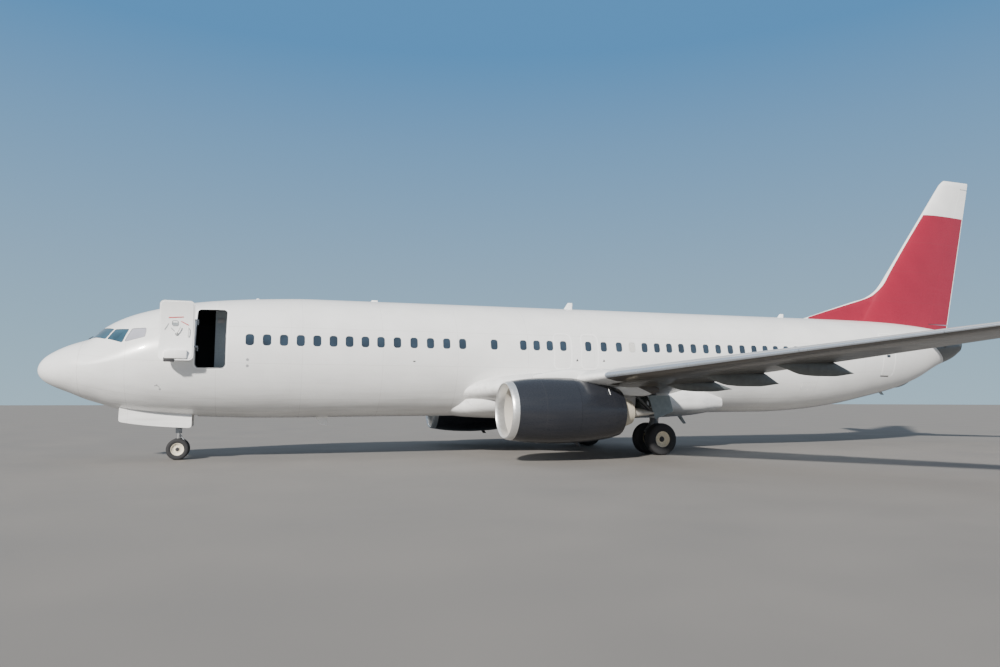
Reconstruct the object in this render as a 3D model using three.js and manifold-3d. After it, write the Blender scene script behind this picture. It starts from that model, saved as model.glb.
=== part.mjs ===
// A narrow-body airliner: two fan engines under a low swept wing, parked on its landing gear, front left door open.
// Millimetres, +Z up, ground at Z = 0. A station is a distance aft of the nose tip, and a span runs to the right.
// The airframe is moved as one so that the middle of its length stands over the origin.
import * as THREE from "three";
import { mergeVertices } from "three/addons/utils/BufferGeometryUtils.js";
import Module from "manifold-3d";

const wasm = await Module();
wasm.setup();

// Overall sizes
const LENGTH = 39470;
const PARKED_SLOPE = 0.006; // rise of the fuselage line towards the tail, as the airliner stands
const JOINT_GAP = 0.6; // between pieces that are fastened to each other
const FINEST = 0.1; // smaller slivers left by a cut are closed up
const ROUND = 36; // sides of a fuselage section

// Fuselage: heights are above the ground at the nose, before the parked slope is added
const FUSELAGE = [
  // station, crown, keel, half breadth, level of greatest breadth, fullness of the upper half
  [0, 2810, 2750, 35, 2780, 2],
  [45, 2990, 2610, 215, 2782, 2],
  [180, 3170, 2450, 430, 2788, 2],
  [490, 3390, 2265, 725, 2800, 2],
  [900, 3590, 2090, 970, 2830, 1.95],
  [1250, 3715, 1930, 1115, 2860, 1.8],
  [1450, 3775, 1855, 1190, 2885, 1.62],
  [1730, 4100, 1760, 1285, 2920, 1.5],
  [2150, 4370, 1615, 1405, 2985, 1.58],
  [2620, 4575, 1510, 1525, 3050, 1.75],
  [3220, 4755, 1430, 1650, 3140, 1.9],
  [4470, 5025, 1335, 1800, 3280, 2],
  [5500, 5140, 1290, 1855, 3345, 2],
  [6400, 5205, 1265, 1874, 3375, 2],
  [8000, 5266, 1256, 1880, 3386, 2],
  [26300, 5266, 1256, 1880, 3386, 2],
  [28000, 5266, 1325, 1862, 3420, 2],
  [30140, 5264, 1550, 1750, 3530, 2],
  [31830, 5250, 1850, 1560, 3700, 2],
  [33300, 5215, 2150, 1325, 3880, 2],
  [34800, 5130, 2600, 1030, 4050, 2],
  [36300, 4990, 3270, 690, 4215, 2],
  [37370, 4830, 3640, 390, 4285, 2],
  [38020, 4680, 4020, 215, 4350, 2],
];
const RADOME_END = 1250;
const NOSE_END = 7300;
const BARREL_END = 26300;
const TAIL_END = 36300;
const CONE_END = 38020;
const EXHAUST = { radius: 150, depth: 700, rise: 235 }; // of the small jet in the tail cone

// Front left doorway, the room behind it and the open door
const DOORWAY = { front: 4580, back: 5420, sill: 2865, head: 4640, corner: 140, inner: -900 };
const ROOM = { front: 4380, back: 5900, right: 1250, ceiling: 4800, wall: 90 };
const CABINET = { front: 5010, back: 5860, left: -560, right: 1080, foot: 2835, head: 4560 };
const DOOR = { front: 3545, back: 4455, bottom: 3050, top: 4815, thick: 95, outer: 1985, bulge: 150 };
const DOOR_PACK = { width: 640, height: 270, depth: 165 }; // escape slide in its box, low on the inner face
const HINGE_ARMS = [3480, 4280]; // heights of the two door hinge arms

// Flight deck glazing: an outline seen from the side, cut through the nose skin
const GLAZING = {
  outline: [
    // station, height
    [1470, 3795],
    [1890, 3790],
    [2390, 3700],
    [2560, 3715],
    [3010, 3900],
    [3050, 4085],
    [3025, 4185],
    [1760, 4150],
  ],
  thick: 45,
  rebate: 6, // of the outline around the panes
  back: 3600,
  run: 100,
};

// Nose wheel bay and its two doors
const BAY = { front: 2420, back: 4560, half: 385, below: 1000, roof: 2150 };
const BAY_DOOR = { front: 2330, back: 4400, out: 425, thick: 26, drop: 360, splay: 60 };

// Wing: one row for each section
const WING = [
  // span, leading edge station, chord, leading edge height, thickness ratio, nose-up twist in degrees
  [1300, 12900, 7870, 2190, 0.142, 1.2],
  [1880, 13350, 7400, 2240, 0.14, 1.1],
  [4830, 15550, 5050, 2515, 0.122, 0.6],
  [5900, 16150, 4450, 2620, 0.118, 0.4],
  [11600, 19110, 2970, 3136, 0.108, 0],
  [17000, 21916, 1520, 3625, 0.102, -0.4],
  [17160, 22330, 1080, 3642, 0.06, -0.4],
];
const WING_CAMBER = 0.014;
const AIRFOIL_STEPS = [0, 0.012, 0.045, 0.11, 0.2, 0.32, 0.45, 0.6, 0.74, 0.87, 1];
const EDGE_THICK = 0.0022; // half thickness of a trailing edge, as a share of the chord
const PANEL_GAP = 14; // around a flap
const SLAT_GAP = 3;
const BEYOND = 40; // that cuts run on past an edge
const COWL_CLEARANCE = 20; // between an engine's cowl and the wing over it
const SLAT = { inner: 5650, outer: 16550, share: 0.1 };
const FLAPS = [
  // name, inner span, outer span, share of chord where it starts
  ["flap_inboard", 2080, 4560, 0.74],
  ["flap_outboard", 5250, 11650, 0.72],
];
const AILERON = { inner: 12050, outer: 15900, hingeShare: 0.775, end: 26 };
const FAIRINGS = [
  // span, front station, back station, height of its back tip
  [5010, 18550, 21300, 2240],
  [7100, 18730, 21450, 2370],
  [9300, 19560, 22180, 2610],
];
const FAIRING_FLOOR = [
  // share of the length, height over the back tip
  [0, 200],
  [0.14, 90],
  [0.33, -50],
  [0.54, -80],
  [0.72, -80],
  [1, -6],
];
const FAIRING_HALF = 125;

// Belly fairing between the wings, with the two wheel wells
const BELLY = [
  // station, bottom, top, half breadth
  [12600, 1450, 2100, 800],
  [13000, 1350, 2300, 1100],
  [13350, 1300, 2620, 1520],
  [13900, 1265, 2860, 1860],
  [14600, 1235, 2930, 2010],
  [17000, 1190, 2850, 2060],
  [20500, 1200, 2720, 2030],
  [22300, 1270, 2500, 1800],
  [23600, 1440, 2200, 1330],
];
const BELLY_POWER = 0.72; // squareness of the belly's section
const WELL = { station: 19600, span: 760, radius: 600, below: 900, roof: 1950, slot: 240, slotRoof: 2600 };

// Engines, on an axis parallel to the ground
const ENGINE = { span: 4830, height: 1570 };
const COWL_SIDES = 32;
const LIP = [
  // station, radius
  [13530, 885],
  [13400, 862],
  [13335, 825],
  [13350, 795],
  [13440, 776],
  [13620, 780],
  [13620, 815],
  [13530, 850],
];
const FAN_COWL = [
  [13531, 886],
  [13900, 940],
  [14400, 985],
  [15000, 1008],
  [15450, 1003],
  [15450, 850],
  [14900, 800],
  [14250, 800],
  [13900, 788],
  [13621, 779],
  [13621, 816],
  [13531, 851],
];
const SLEEVE = [
  [15456, 1002],
  [16100, 945],
  [16700, 850],
  [17180, 730],
  [17180, 713],
  [16600, 785],
  [16000, 850],
  [15456, 850],
];
const CORE = [
  [14930, 0],
  [14930, 400],
  [15300, 470],
  [16200, 590],
  [16900, 560],
  [17150, 520],
  [17150, 330],
  [17080, 0],
];
const NOZZLE = [
  [17151, 521],
  [17330, 485],
  [17560, 430],
  [17560, 412],
  [17330, 445],
  [17151, 470],
];
const PLUG = [
  [17151, 0],
  [17151, 320],
  [17600, 285],
  [18050, 170],
  [18420, 50],
  [18460, 0],
];
const FAN = { station: 14470, tip: 783, root: 235, blades: 20, pitch: 45, spinner: 330, shaft: 58, bore: 61 };
const STRUTS = 8; // vanes that carry the cowl from the core
const STRUT_LIMIT = [
  [14800, 0],
  [14800, 795],
  [17300, 795],
  [17300, 0],
];
const PYLON = [
  // station, top, bottom, half width
  [14250, 2620, 2480, 40],
  [14660, 2715, 2400, 110],
  [14900, 2760, 2030, 150],
  [15500, 2840, 2030, 190],
  [16600, 2700, 2080, 195],
  [17200, 2600, 2020, 180],
  [18000, 2500, 2010, 110],
  [18650, 2350, 2080, 20],
];

// Tail
const FIN = [
  // height, leading edge station, trailing edge station, thickness
  [4700, 31340, 37115, 620],
  [5300, 31820, 37270, 590],
  [12250, 37295, 39145, 235],
  [12520, 37570, 39220, 120],
];
const DORSAL = [
  // station, top, half width at its foot
  [28750, 5420, 25],
  [30140, 5850, 60],
  [31720, 6330, 110],
  [32260, 6480, 135],
  [32630, 6650, 150],
  [33000, 6890, 170],
  [33300, 7200, 190],
  [34000, 8020, 210],
];
const RUDDER = { foot: 5420, head: 12180, footHinge: 35990, headHinge: 38640, footNose: 150, headNose: 64, end: 34 };
const STABILIZER = [
  // span, leading edge station, chord, leading edge height, thickness ratio, twist
  [500, 34010, 3560, 4580, 0.11, 0],
  [900, 34280, 3420, 4625, 0.11, 0],
  [7000, 38441, 985, 5372, 0.09, 0],
  [7175, 38800, 670, 5394, 0.05, 0],
];
const ELEVATOR = { inner: 1240, outer: 6650, hingeShare: 0.72, end: 26 };
const HINGE_PIN = { radius: 13, bore: 15.5, reach: 120, root: 90 };
const SWING_GAP = 9; // between a control surface's round nose and what it turns in

// Main landing gear
const MAIN_GEAR = { station: 19600, track: 2860, twin: 430, head: 2300 };
const MAIN_TYRE = { radius: 545, half: 205, bead: 267 };
const MAIN_LEG = { outer: 135, piston: 88, collar: 1060, axle: 66, bore: 72 };
// Nose landing gear
const NOSE_GEAR = { station: 4000, twin: 210, head: 2140 };
const NOSE_TYRE = { radius: 335, half: 96, bead: 190 };
const NOSE_LEG = { outer: 95, piston: 60, bore: 65, collar: 830, axle: 38, axleBore: 43 };
const TYRE_SIDES = 24;

const COLOURS = {
  // colour, roughness, metalness
  white_paint: [0xf0f0ee, 0.35, 0],
  red_paint: [0xb0303f, 0.35, 0],
  grey_paint: [0xa9acad, 0.4, 0],
  cowl_paint: [0x33363b, 0.4, 0.2],
  bare_metal: [0xc8cacc, 0.3, 0.9],
  dark_metal: [0x6c6a66, 0.45, 0.8],
  glazing: [0x24313a, 0.1, 0],
  tyre_rubber: [0x16161a, 0.85, 0],
  wheel_paint: [0xd8d0b8, 0.45, 0.1],
  gear_paint: [0xb9bcbd, 0.4, 0.3],
  cabin_lining: [0x7d8488, 0.6, 0],
};
const materials = {};
for (const [name, [color, roughness, metalness]] of Object.entries(COLOURS)) {
  materials[name] = new THREE.MeshStandardMaterial({ color, roughness, metalness });
}

const airframe = new THREE.Group();
airframe.position.x = -LENGTH / 2;

// A closed three.js geometry as a solid, turned outwards if its faces point in
function solid(geometry) {
  const bare = new THREE.BufferGeometry().setAttribute("position", geometry.getAttribute("position"));
  bare.setIndex(geometry.index);
  const merged = mergeVertices(bare, 1e-2);
  const corners = merged.index.array;
  const faces = [];
  for (let i = 0; i < corners.length; i += 3) {
    const [a, b, c] = [corners[i], corners[i + 1], corners[i + 2]];
    if (a !== b && b !== c && c !== a) faces.push(a, b, c);
  }
  const build = (list) =>
    new wasm.Manifold(
      new wasm.Mesh({
        numProp: 3,
        vertProperties: new Float32Array(merged.attributes.position.array),
        triVerts: new Uint32Array(list),
      }),
    );
  const made = build(faces);
  if (made.volume() > 0) return made;
  for (let i = 0; i < faces.length; i += 3) [faces[i + 1], faces[i + 2]] = [faces[i + 2], faces[i + 1]];
  return build(faces);
}

// The main body of what a cut has left, without its slivers
function largest(shape) {
  const [main, ...rest] = shape.decompose().sort((a, b) => b.volume() - a.volume());
  if (rest.some((piece) => piece.volume() > main.volume() / 100)) throw new Error("a piece is cut in two");
  return main;
}

function add(name, material, shape) {
  const { vertProperties, triVerts, numProp } = largest(shape.simplify(FINEST)).getMesh();
  const points = new Float32Array((vertProperties.length / numProp) * 3);
  for (let i = 0; i < points.length / 3; i++) {
    points.set(vertProperties.subarray(i * numProp, i * numProp + 3), i * 3);
  }
  const geometry = new THREE.BufferGeometry()
    .setAttribute("position", new THREE.BufferAttribute(points, 3))
    .setIndex(new THREE.BufferAttribute(new Uint32Array(triVerts), 1));
  geometry.computeVertexNormals();
  const mesh = new THREE.Mesh(geometry, materials[material]);
  mesh.name = name;
  airframe.add(mesh);
}

// A skin over rings of equally many points, closed by a fan at each end
function loft(rings) {
  const count = rings[0].length;
  const points = [];
  const index = [];
  for (const ring of rings) for (const p of ring) points.push(p.x, p.y, p.z);
  for (let r = 0; r + 1 < rings.length; r++) {
    for (let i = 0; i < count; i++) {
      const j = (i + 1) % count;
      const [a, b, c, d] = [r * count + i, r * count + j, (r + 1) * count + j, (r + 1) * count + i];
      index.push(a, b, c, a, c, d);
    }
  }
  for (const [row, flip] of [
    [0, true],
    [rings.length - 1, false],
  ]) {
    const middle = new THREE.Vector3();
    for (const p of rings[row]) middle.addScaledVector(p, 1 / count);
    const hub = points.length / 3;
    points.push(middle.x, middle.y, middle.z);
    for (let i = 0; i < count; i++) {
      const [a, b] = [row * count + i, row * count + ((i + 1) % count)];
      if (flip) index.push(hub, b, a);
      else index.push(hub, a, b);
    }
  }
  const geometry = new THREE.BufferGeometry()
    .setAttribute("position", new THREE.Float32BufferAttribute(points, 3))
    .setIndex(index);
  return solid(geometry);
}

function box(x0, x1, y0, y1, z0, z1) {
  const geometry = new THREE.BoxGeometry(x1 - x0, Math.abs(y1 - y0), z1 - z0);
  geometry.translate((x0 + x1) / 2, (y0 + y1) / 2, (z0 + z1) / 2);
  return solid(geometry);
}

// A round bar between two points
function rod(from, to, radius, sides = 14, endRadius = radius) {
  const [a, b] = [new THREE.Vector3(...from), new THREE.Vector3(...to)];
  const geometry = new THREE.CylinderGeometry(endRadius, radius, a.distanceTo(b), sides);
  const turn = new THREE.Quaternion().setFromUnitVectors(
    new THREE.Vector3(0, 1, 0),
    b.clone().sub(a).normalize(),
  );
  geometry.applyQuaternion(turn);
  const middle = a.clone().lerp(b, 0.5);
  geometry.translate(middle.x, middle.y, middle.z);
  return solid(geometry);
}

// A solid turned about a fore-and-aft axis through span y and height z, from rows of station and radius
function turned(rows, y, z, sides) {
  const closed = rows[0][1] > 0 ? [...rows, rows[0]] : rows;
  const geometry = new THREE.LatheGeometry(
    closed.map(([station, radius]) => new THREE.Vector2(radius, station)),
    sides,
  );
  geometry.rotateZ(-Math.PI / 2); // the lathe's own axis becomes the fore-and-aft one
  geometry.translate(0, y, z);
  return solid(geometry);
}

// A ring turned about a sideways axis, from rows of offset along it and radius
function wheelRing(rows, x, y, z, sides) {
  const closed = rows[0][1] > 0 ? [...rows, rows[0]] : rows;
  const flat = 1 / Math.cos(Math.PI / sides); // the flats of the polygon touch the true circle
  const profile = closed.map(([offset, radius]) => new THREE.Vector2(radius * flat, offset));
  const geometry = new THREE.LatheGeometry(profile, sides);
  geometry.rotateY(Math.PI / sides); // and one of them lies on the ground
  geometry.translate(x, y, z);
  return solid(geometry);
}

// A prism standing on an outline of [x, y] points, from z0 to z1
function prism(outline, z0, z1) {
  const shape = new THREE.Shape(outline.map(([x, y]) => new THREE.Vector2(x, y)));
  const geometry = new THREE.ExtrudeGeometry(shape, { depth: z1 - z0, bevelEnabled: false });
  geometry.translate(0, 0, z0);
  return solid(geometry);
}

// A plate whose [x, z] outline runs from span y0 to span y1
function sidePlate(shape, y0, y1) {
  const [low, high] = [Math.min(y0, y1), Math.max(y0, y1)];
  const geometry = new THREE.ExtrudeGeometry(shape, { depth: high - low, bevelEnabled: false, curveSegments: 4 });
  geometry.rotateX(Math.PI / 2);
  geometry.translate(0, high, 0);
  return solid(geometry);
}

const outlineShape = (outline) => new THREE.Shape(outline.map(([x, z]) => new THREE.Vector2(x, z)));

function roundedRectangle(x0, x1, z0, z1, radius) {
  const shape = new THREE.Shape();
  shape.moveTo(x0 + radius, z0);
  shape.lineTo(x1 - radius, z0);
  shape.absarc(x1 - radius, z0 + radius, radius, -Math.PI / 2, 0);
  shape.lineTo(x1, z1 - radius);
  shape.absarc(x1 - radius, z1 - radius, radius, 0, Math.PI / 2);
  shape.lineTo(x0 + radius, z1);
  shape.absarc(x0 + radius, z1 - radius, radius, Math.PI / 2, Math.PI);
  shape.lineTo(x0, z0 + radius);
  shape.absarc(x0 + radius, z0 + radius, radius, Math.PI, Math.PI * 1.5);
  return shape;
}

// The columns of a table at one value of its first column, between rows by straight lines
function rowAt(table, key) {
  const last = table.length - 1;
  const i = Math.max(0, Math.min(last - 1, table.findIndex((row) => row[0] >= key) - 1));
  const share = (key - table[i][0]) / (table[i + 1][0] - table[i][0]);
  return table[i].map((value, k) => value + (table[i + 1][k] - value) * share);
}

function fuselageRing(station, inset) {
  const [, crown, keel, half, level, fullness] = rowAt(FUSELAGE, station);
  const rise = PARKED_SLOPE * station;
  return Array.from({ length: ROUND }, (_, i) => {
    const angle = (2 * Math.PI * i) / ROUND;
    const [c, s] = [Math.cos(angle), Math.sin(angle)];
    const [reach, power] = s > 0 ? [crown - level, 2 / fullness] : [level - keel, 1];
    return new THREE.Vector3(
      station,
      (half - inset) * Math.sign(c) * Math.abs(c) ** power,
      level + rise + (reach - inset) * Math.sign(s) * Math.abs(s) ** power,
    );
  });
}

// A length of fuselage, drawn in by an inset all round
function fuselage(from, to, inset = 0) {
  const between = FUSELAGE.map((row) => row[0]).filter((s) => s > from + 1 && s < to - 1);
  return loft([from, ...between, to].map((s) => fuselageRing(s, inset)));
}

// An airfoil's half thickness and the height of its mean line at a share of its chord, both as shares of the chord
const halfThickness = (s, ratio) =>
  5 * ratio * (0.2969 * Math.sqrt(s) - 0.126 * s - 0.3516 * s ** 2 + 0.2843 * s ** 3 - 0.1015 * s ** 4);
const meanLine = (s, camber) => 4 * camber * s * (1 - s);

// One closed airfoil section; the left side is the mirror of the right
function airfoil(side, [span, edge, chord, height, ratio, twist], camber, grow = 0) {
  const turn = THREE.MathUtils.degToRad(twist);
  const point = (s, way) => {
    const mean = meanLine(s, camber);
    const away = s === 0 ? 0 : Math.max(halfThickness(s, ratio), EDGE_THICK);
    const [along, up] = [chord * s + grow * (2 * s - 1), chord * (mean + way * away) + (s && way * grow)];
    return new THREE.Vector3(
      edge + along * Math.cos(turn) + up * Math.sin(turn),
      side * span,
      height - along * Math.sin(turn) + up * Math.cos(turn),
    );
  };
  const upper = [...AIRFOIL_STEPS].reverse().map((s) => point(s, 1));
  const lower = AIRFOIL_STEPS.slice(1).map((s) => point(s, -1));
  return [...upper, ...lower];
}

// The plan of a panel between two spans and two shares of the chord, widened by a margin
function planPanel(table, side, inner, outer, fromShare, toShare, margin) {
  const corner = (span, share, way) => {
    const [, edge, chord] = rowAt(table, span);
    return [edge + chord * share + way * margin, side * span];
  };
  const kinks = table.map((row) => row[0]).filter((span) => span > inner && span < outer);
  const spans = [inner - margin, ...kinks, outer + margin];
  return [
    ...spans.map((span) => corner(span, fromShare, -1)),
    ...[...spans].reverse().map((span) => corner(span, toShare, toShare < 1 ? 1 : BEYOND)),
  ];
}

const ALL_HEIGHTS = [0, 14000];
const ALL_SPANS = [-2400, 2400]; // across the fuselage
const ALL_STATIONS = [0, 41000];

// A control surface with a round nose, cut from a wing or fin, and the pins at both ends that it turns on
function hinged(whole, from, to, noses, behind, region, end) {
  const axis = to.clone().sub(from).normalize();
  const taper = (noses[1] - noses[0]) / from.distanceTo(to);
  const along = (start, distance) => start.clone().addScaledVector(axis, distance).toArray();
  const nose = (grow) =>
    rod(
      along(from, -HINGE_PIN.root),
      along(to, HINGE_PIN.root),
      noses[0] - taper * HINGE_PIN.root + grow,
      20,
      noses[1] + taper * HINGE_PIN.root + grow,
    );
  let fixed = whole.subtract(behind.add(nose(SWING_GAP)).intersect(region(0)));
  let moving = whole.intersect(behind.add(nose(0))).intersect(region(end));
  for (const [start, way] of [
    [from, 1],
    [to, -1],
  ]) {
    const pin = (reach, radius, sides) =>
      rod(along(start, -way * HINGE_PIN.root), along(start, way * reach), radius, sides);
    moving = moving.subtract(pin(HINGE_PIN.reach + 15, HINGE_PIN.bore, 12));
    fixed = fixed.add(pin(HINGE_PIN.reach, HINGE_PIN.radius, 10));
  }
  return { fixed, moving };
}

// The aileron or elevator of one side, hinged on a line at one share of the chord
function hingedPanel(whole, table, camber, side, { inner, outer, hingeShare, end }) {
  const [at, noses] = [[], []];
  for (const span of [inner, outer]) {
    const [, edge, chord, height, ratio, twist] = rowAt(table, span);
    const turn = THREE.MathUtils.degToRad(twist);
    const [run, rise] = [chord * hingeShare, meanLine(hingeShare, camber) * chord];
    at.push(
      new THREE.Vector3(
        edge + run * Math.cos(turn) + rise * Math.sin(turn),
        side * span,
        height - run * Math.sin(turn) + rise * Math.cos(turn),
      ),
    );
    noses.push(halfThickness(hingeShare, ratio) * chord);
  }
  const [from, to] = at;
  const behind = prism(
    [[from.x, from.y], [to.x, to.y], [ALL_STATIONS[1], to.y], [ALL_STATIONS[1], from.y]],
    ...ALL_HEIGHTS,
  );
  const region = (margin) =>
    box(...ALL_STATIONS, side * (inner + margin), side * (outer - margin), ...ALL_HEIGHTS);
  return hinged(whole, from, to, noses, behind, region, end);
}

// Fuselage sections, with the doorway, the room behind it, the glazing and the nose wheel bay cut out
function buildFuselage() {
  add("radome", "white_paint", fuselage(0, RADOME_END - JOINT_GAP));

  const doorway = sidePlate(
    roundedRectangle(DOORWAY.front, DOORWAY.back, DOORWAY.sill, DOORWAY.head, DOORWAY.corner),
    ALL_SPANS[0],
    DOORWAY.inner,
  );
  const room = fuselage(ROOM.front, ROOM.back, ROOM.wall).intersect(
    box(ROOM.front, ROOM.back, -2000, ROOM.right, DOORWAY.sill, ROOM.ceiling),
  );
  const cabinet = (grow) =>
    box(
      CABINET.front - grow,
      CABINET.back + grow,
      CABINET.left - grow,
      CABINET.right + grow,
      CABINET.foot - grow,
      CABINET.head,
    );
  const bay = box(BAY.front, BAY.back, -BAY.half, BAY.half, BAY.below, BAY.roof);
  const windows = sidePlate(outlineShape(GLAZING.outline), ...ALL_SPANS);
  const shell = (front, outer, inner) =>
    fuselage(front, GLAZING.back, outer).subtract(fuselage(front - GLAZING.run, GLAZING.back + GLAZING.run, inner));
  const band = shell(RADOME_END, 0, GLAZING.thick - 1);
  const recess = shell(RADOME_END - GLAZING.run, -10, GLAZING.thick + JOINT_GAP);
  const nose = fuselage(RADOME_END, NOSE_END - JOINT_GAP)
    .subtract(doorway)
    .subtract(room)
    .subtract(cabinet(JOINT_GAP))
    .subtract(bay)
    .subtract(recess.intersect(windows));
  add("nose_section", "white_paint", nose);
  const [left, right] = [GLAZING.outline[0], GLAZING.outline[5]];
  const middle = [(left[0] + right[0]) / 2, (left[1] + right[1]) / 2];
  const drawnIn = ([x, z]) => [
    x + Math.sign(middle[0] - x) * GLAZING.rebate,
    z + Math.sign(middle[1] - z) * GLAZING.rebate,
  ];
  const inside = sidePlate(outlineShape(GLAZING.outline.map(drawnIn)), ...ALL_SPANS);
  add("flight_deck_glazing", "glazing", band.intersect(inside));
  add("entry_cabinet", "cabin_lining", cabinet(0));

  const barrel = fuselage(NOSE_END, BARREL_END - JOINT_GAP).subtract(wheelWells(ALL_SPANS[0], WELL.roof));
  add("fuselage_barrel", "white_paint", barrel);
}

// The open front door: a curved leaf that shows its lining, on two hinge arms
function buildEntryDoor() {
  const rows = 7;
  const rings = Array.from({ length: rows }, (_, i) => {
    const share = i / (rows - 1);
    const z = DOOR.bottom + (DOOR.top - DOOR.bottom) * share;
    const inward = DOOR.bulge * (1 - (2 * share - 1) ** 2);
    const narrow = i === 0 || i === rows - 1 ? 60 : 0;
    const y = -DOOR.outer - DOOR.bulge + inward;
    return [
      new THREE.Vector3(DOOR.front + narrow, y - DOOR.thick, z),
      new THREE.Vector3(DOOR.back - narrow, y - DOOR.thick, z),
      new THREE.Vector3(DOOR.back - narrow, y, z),
      new THREE.Vector3(DOOR.front + narrow, y, z),
    ];
  });
  const middle = (DOOR.front + DOOR.back) / 2;
  const face = -DOOR.outer - DOOR.thick;
  const pack = box(
    middle - DOOR_PACK.width / 2,
    middle + DOOR_PACK.width / 2,
    face - DOOR_PACK.depth,
    face + 20,
    DOOR.bottom + 40,
    DOOR.bottom + 40 + DOOR_PACK.height,
  );
  add("entry_door", "white_paint", loft(rings).add(pack));
  HINGE_ARMS.forEach((z, i) => {
    const arm = rod([DOOR.back - 140, -DOOR.outer + 45, z], [DOORWAY.front + 60, -DOOR.outer + 45, z], 28, 10).add(
      rod([DOORWAY.front + 60, -DOOR.outer + 45, z], [DOORWAY.front + 60, -1650, z - 40], 28, 10),
    );
    const taken = fuselage(ROOM.front - 300, ROOM.back, -JOINT_GAP);
    const clear = loft(rings.map((ring) => ring.map((p) => p.clone().add(new THREE.Vector3(0, p.y > -2100 ? 1 : 0, 0)))));
    add(`door_hinge_${i === 0 ? "lower" : "upper"}`, "gear_paint", arm.subtract(taken).subtract(clear));
  });
}

// Tail sections
function buildTail() {
  add("tail_section", "white_paint", fuselage(BARREL_END, TAIL_END - JOINT_GAP));
  const rise = PARKED_SLOPE * CONE_END;
  const level = rowAt(FUSELAGE, CONE_END)[4] + rise;
  const exhaust = rod([CONE_END - EXHAUST.depth, 0, level], [CONE_END + 100, 0, level], EXHAUST.radius, 24);
  add("tail_cone", "dark_metal", fuselage(TAIL_END, CONE_END).subtract(exhaust));

  const taken = fuselage(BARREL_END, CONE_END, -JOINT_GAP);
  const section = ([height, front, back, thick]) =>
    airfoil(1, [0, front, back - front, 0, thick / (back - front), 0], 0).map(
      (p) => new THREE.Vector3(p.x, p.z, height),
    );
  const dorsal = loft(
    DORSAL.map(([station, top, half]) => [
      new THREE.Vector3(station, half, 4900),
      new THREE.Vector3(station, half * 0.75, 5400),
      new THREE.Vector3(station, 25, top),
      new THREE.Vector3(station, -25, top),
      new THREE.Vector3(station, -half * 0.75, 5400),
      new THREE.Vector3(station, -half, 4900),
    ]),
  );
  const whole = loft(FIN.map(section)).add(dorsal).subtract(taken);
  const hingeAt = (z) =>
    RUDDER.footHinge + ((RUDDER.headHinge - RUDDER.footHinge) * (z - RUDDER.foot)) / (RUDDER.head - RUDDER.foot);
  const [foot, head] = [RUDDER.foot, RUDDER.head].map((z) => new THREE.Vector3(hingeAt(z), 0, z));
  const behind = sidePlate(
    outlineShape([
      [foot.x, foot.z],
      [ALL_STATIONS[1], foot.z],
      [ALL_STATIONS[1], head.z],
      [head.x, head.z],
    ]),
    ...ALL_SPANS,
  );
  const { fixed: fin, moving: rudder } = hinged(
    whole,
    foot,
    head,
    [RUDDER.footNose, RUDDER.headNose],
    behind,
    (margin) => box(...ALL_STATIONS, ...ALL_SPANS, RUDDER.foot + margin, RUDDER.head - margin),
    RUDDER.end,
  );
  add("fin", "red_paint", fin);
  add("rudder", "red_paint", rudder);

  for (const [side, word] of [
    [-1, "left"],
    [1, "right"],
  ]) {
    const plane = loft(STABILIZER.map((row) => airfoil(side, row, 0))).subtract(taken);
    const { fixed, moving } = hingedPanel(plane, STABILIZER, 0, side, ELEVATOR);
    add(`stabilizer_${word}`, "grey_paint", fixed);
    add(`elevator_${word}`, "grey_paint", moving);
  }
}

// Wings with their slats, flaps, ailerons and flap track fairings
function buildWing(side, word) {
  const taken = fuselage(NOSE_END, BARREL_END, -JOINT_GAP);
  const whole = loft(WING.map((row) => airfoil(side, row, WING_CAMBER))).subtract(taken);
  const panelOf = (from, to, start, end, margin) =>
    prism(planPanel(WING, side, from, to, start, end, margin), ...ALL_HEIGHTS);

  let { fixed: wing, moving: aileron } = hingedPanel(whole, WING, WING_CAMBER, side, AILERON);
  add(`aileron_${word}`, "grey_paint", aileron);

  const slat = (margin) => panelOf(SLAT.inner, SLAT.outer, -SLAT.share, SLAT.share, margin);
  add(`slats_${word}`, "bare_metal", whole.intersect(slat(0)));
  wing = wing.subtract(slat(SLAT_GAP));

  const fairingShape = ([span, front, back, tip], grow) => {
    const length = back - front;
    const [, edge, chord, height] = rowAt(WING, span);
    return loft(
      FAIRING_FLOOR.map(([s, over]) => {
        const station = front + length * s;
        const share = Math.min(0.97, (station - edge) / chord);
        const under = height - chord * 0.06 * Math.sin(Math.PI * share) + 100;
        const floor = tip + over;
        const roof = Math.max(floor + 30, s < 0.8 ? under : tip + 12);
        const half = grow + Math.max(10, FAIRING_HALF * Math.sin(Math.PI * (0.1 + 0.86 * s)) ** 0.5);
        return [
          [half, roof + grow],
          [half, (roof + floor) / 2],
          [half * 0.6, floor + 12],
          [0, floor - grow],
          [-half * 0.6, floor + 12],
          [-half, (roof + floor) / 2],
          [-half, roof + grow],
        ].map(([y, z]) => new THREE.Vector3(station, side * span + y, z));
      }),
    );
  };
  const fairings = FAIRINGS.map((row) => fairingShape(row, 0));

  for (const [name, from, to, start] of FLAPS) {
    const cut = panelOf(from, to, start, 1, PANEL_GAP);
    let flap = whole.intersect(panelOf(from, to, start, 1, 0));
    wing = wing.subtract(cut);
    for (const row of FAIRINGS) {
      if (row[0] > from - 200 && row[0] < to + 200) flap = flap.subtract(fairingShape(row, PANEL_GAP));
    }
    add(`${name}_${word}`, "grey_paint", flap);
  }
  for (const fairing of fairings) wing = wing.add(fairing);
  const grown = (margin) => loft(WING.map((row) => airfoil(side, row, WING_CAMBER, margin)));
  return { wing, whole: grown(JOINT_GAP), wide: grown(COWL_CLEARANCE) };
}

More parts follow.
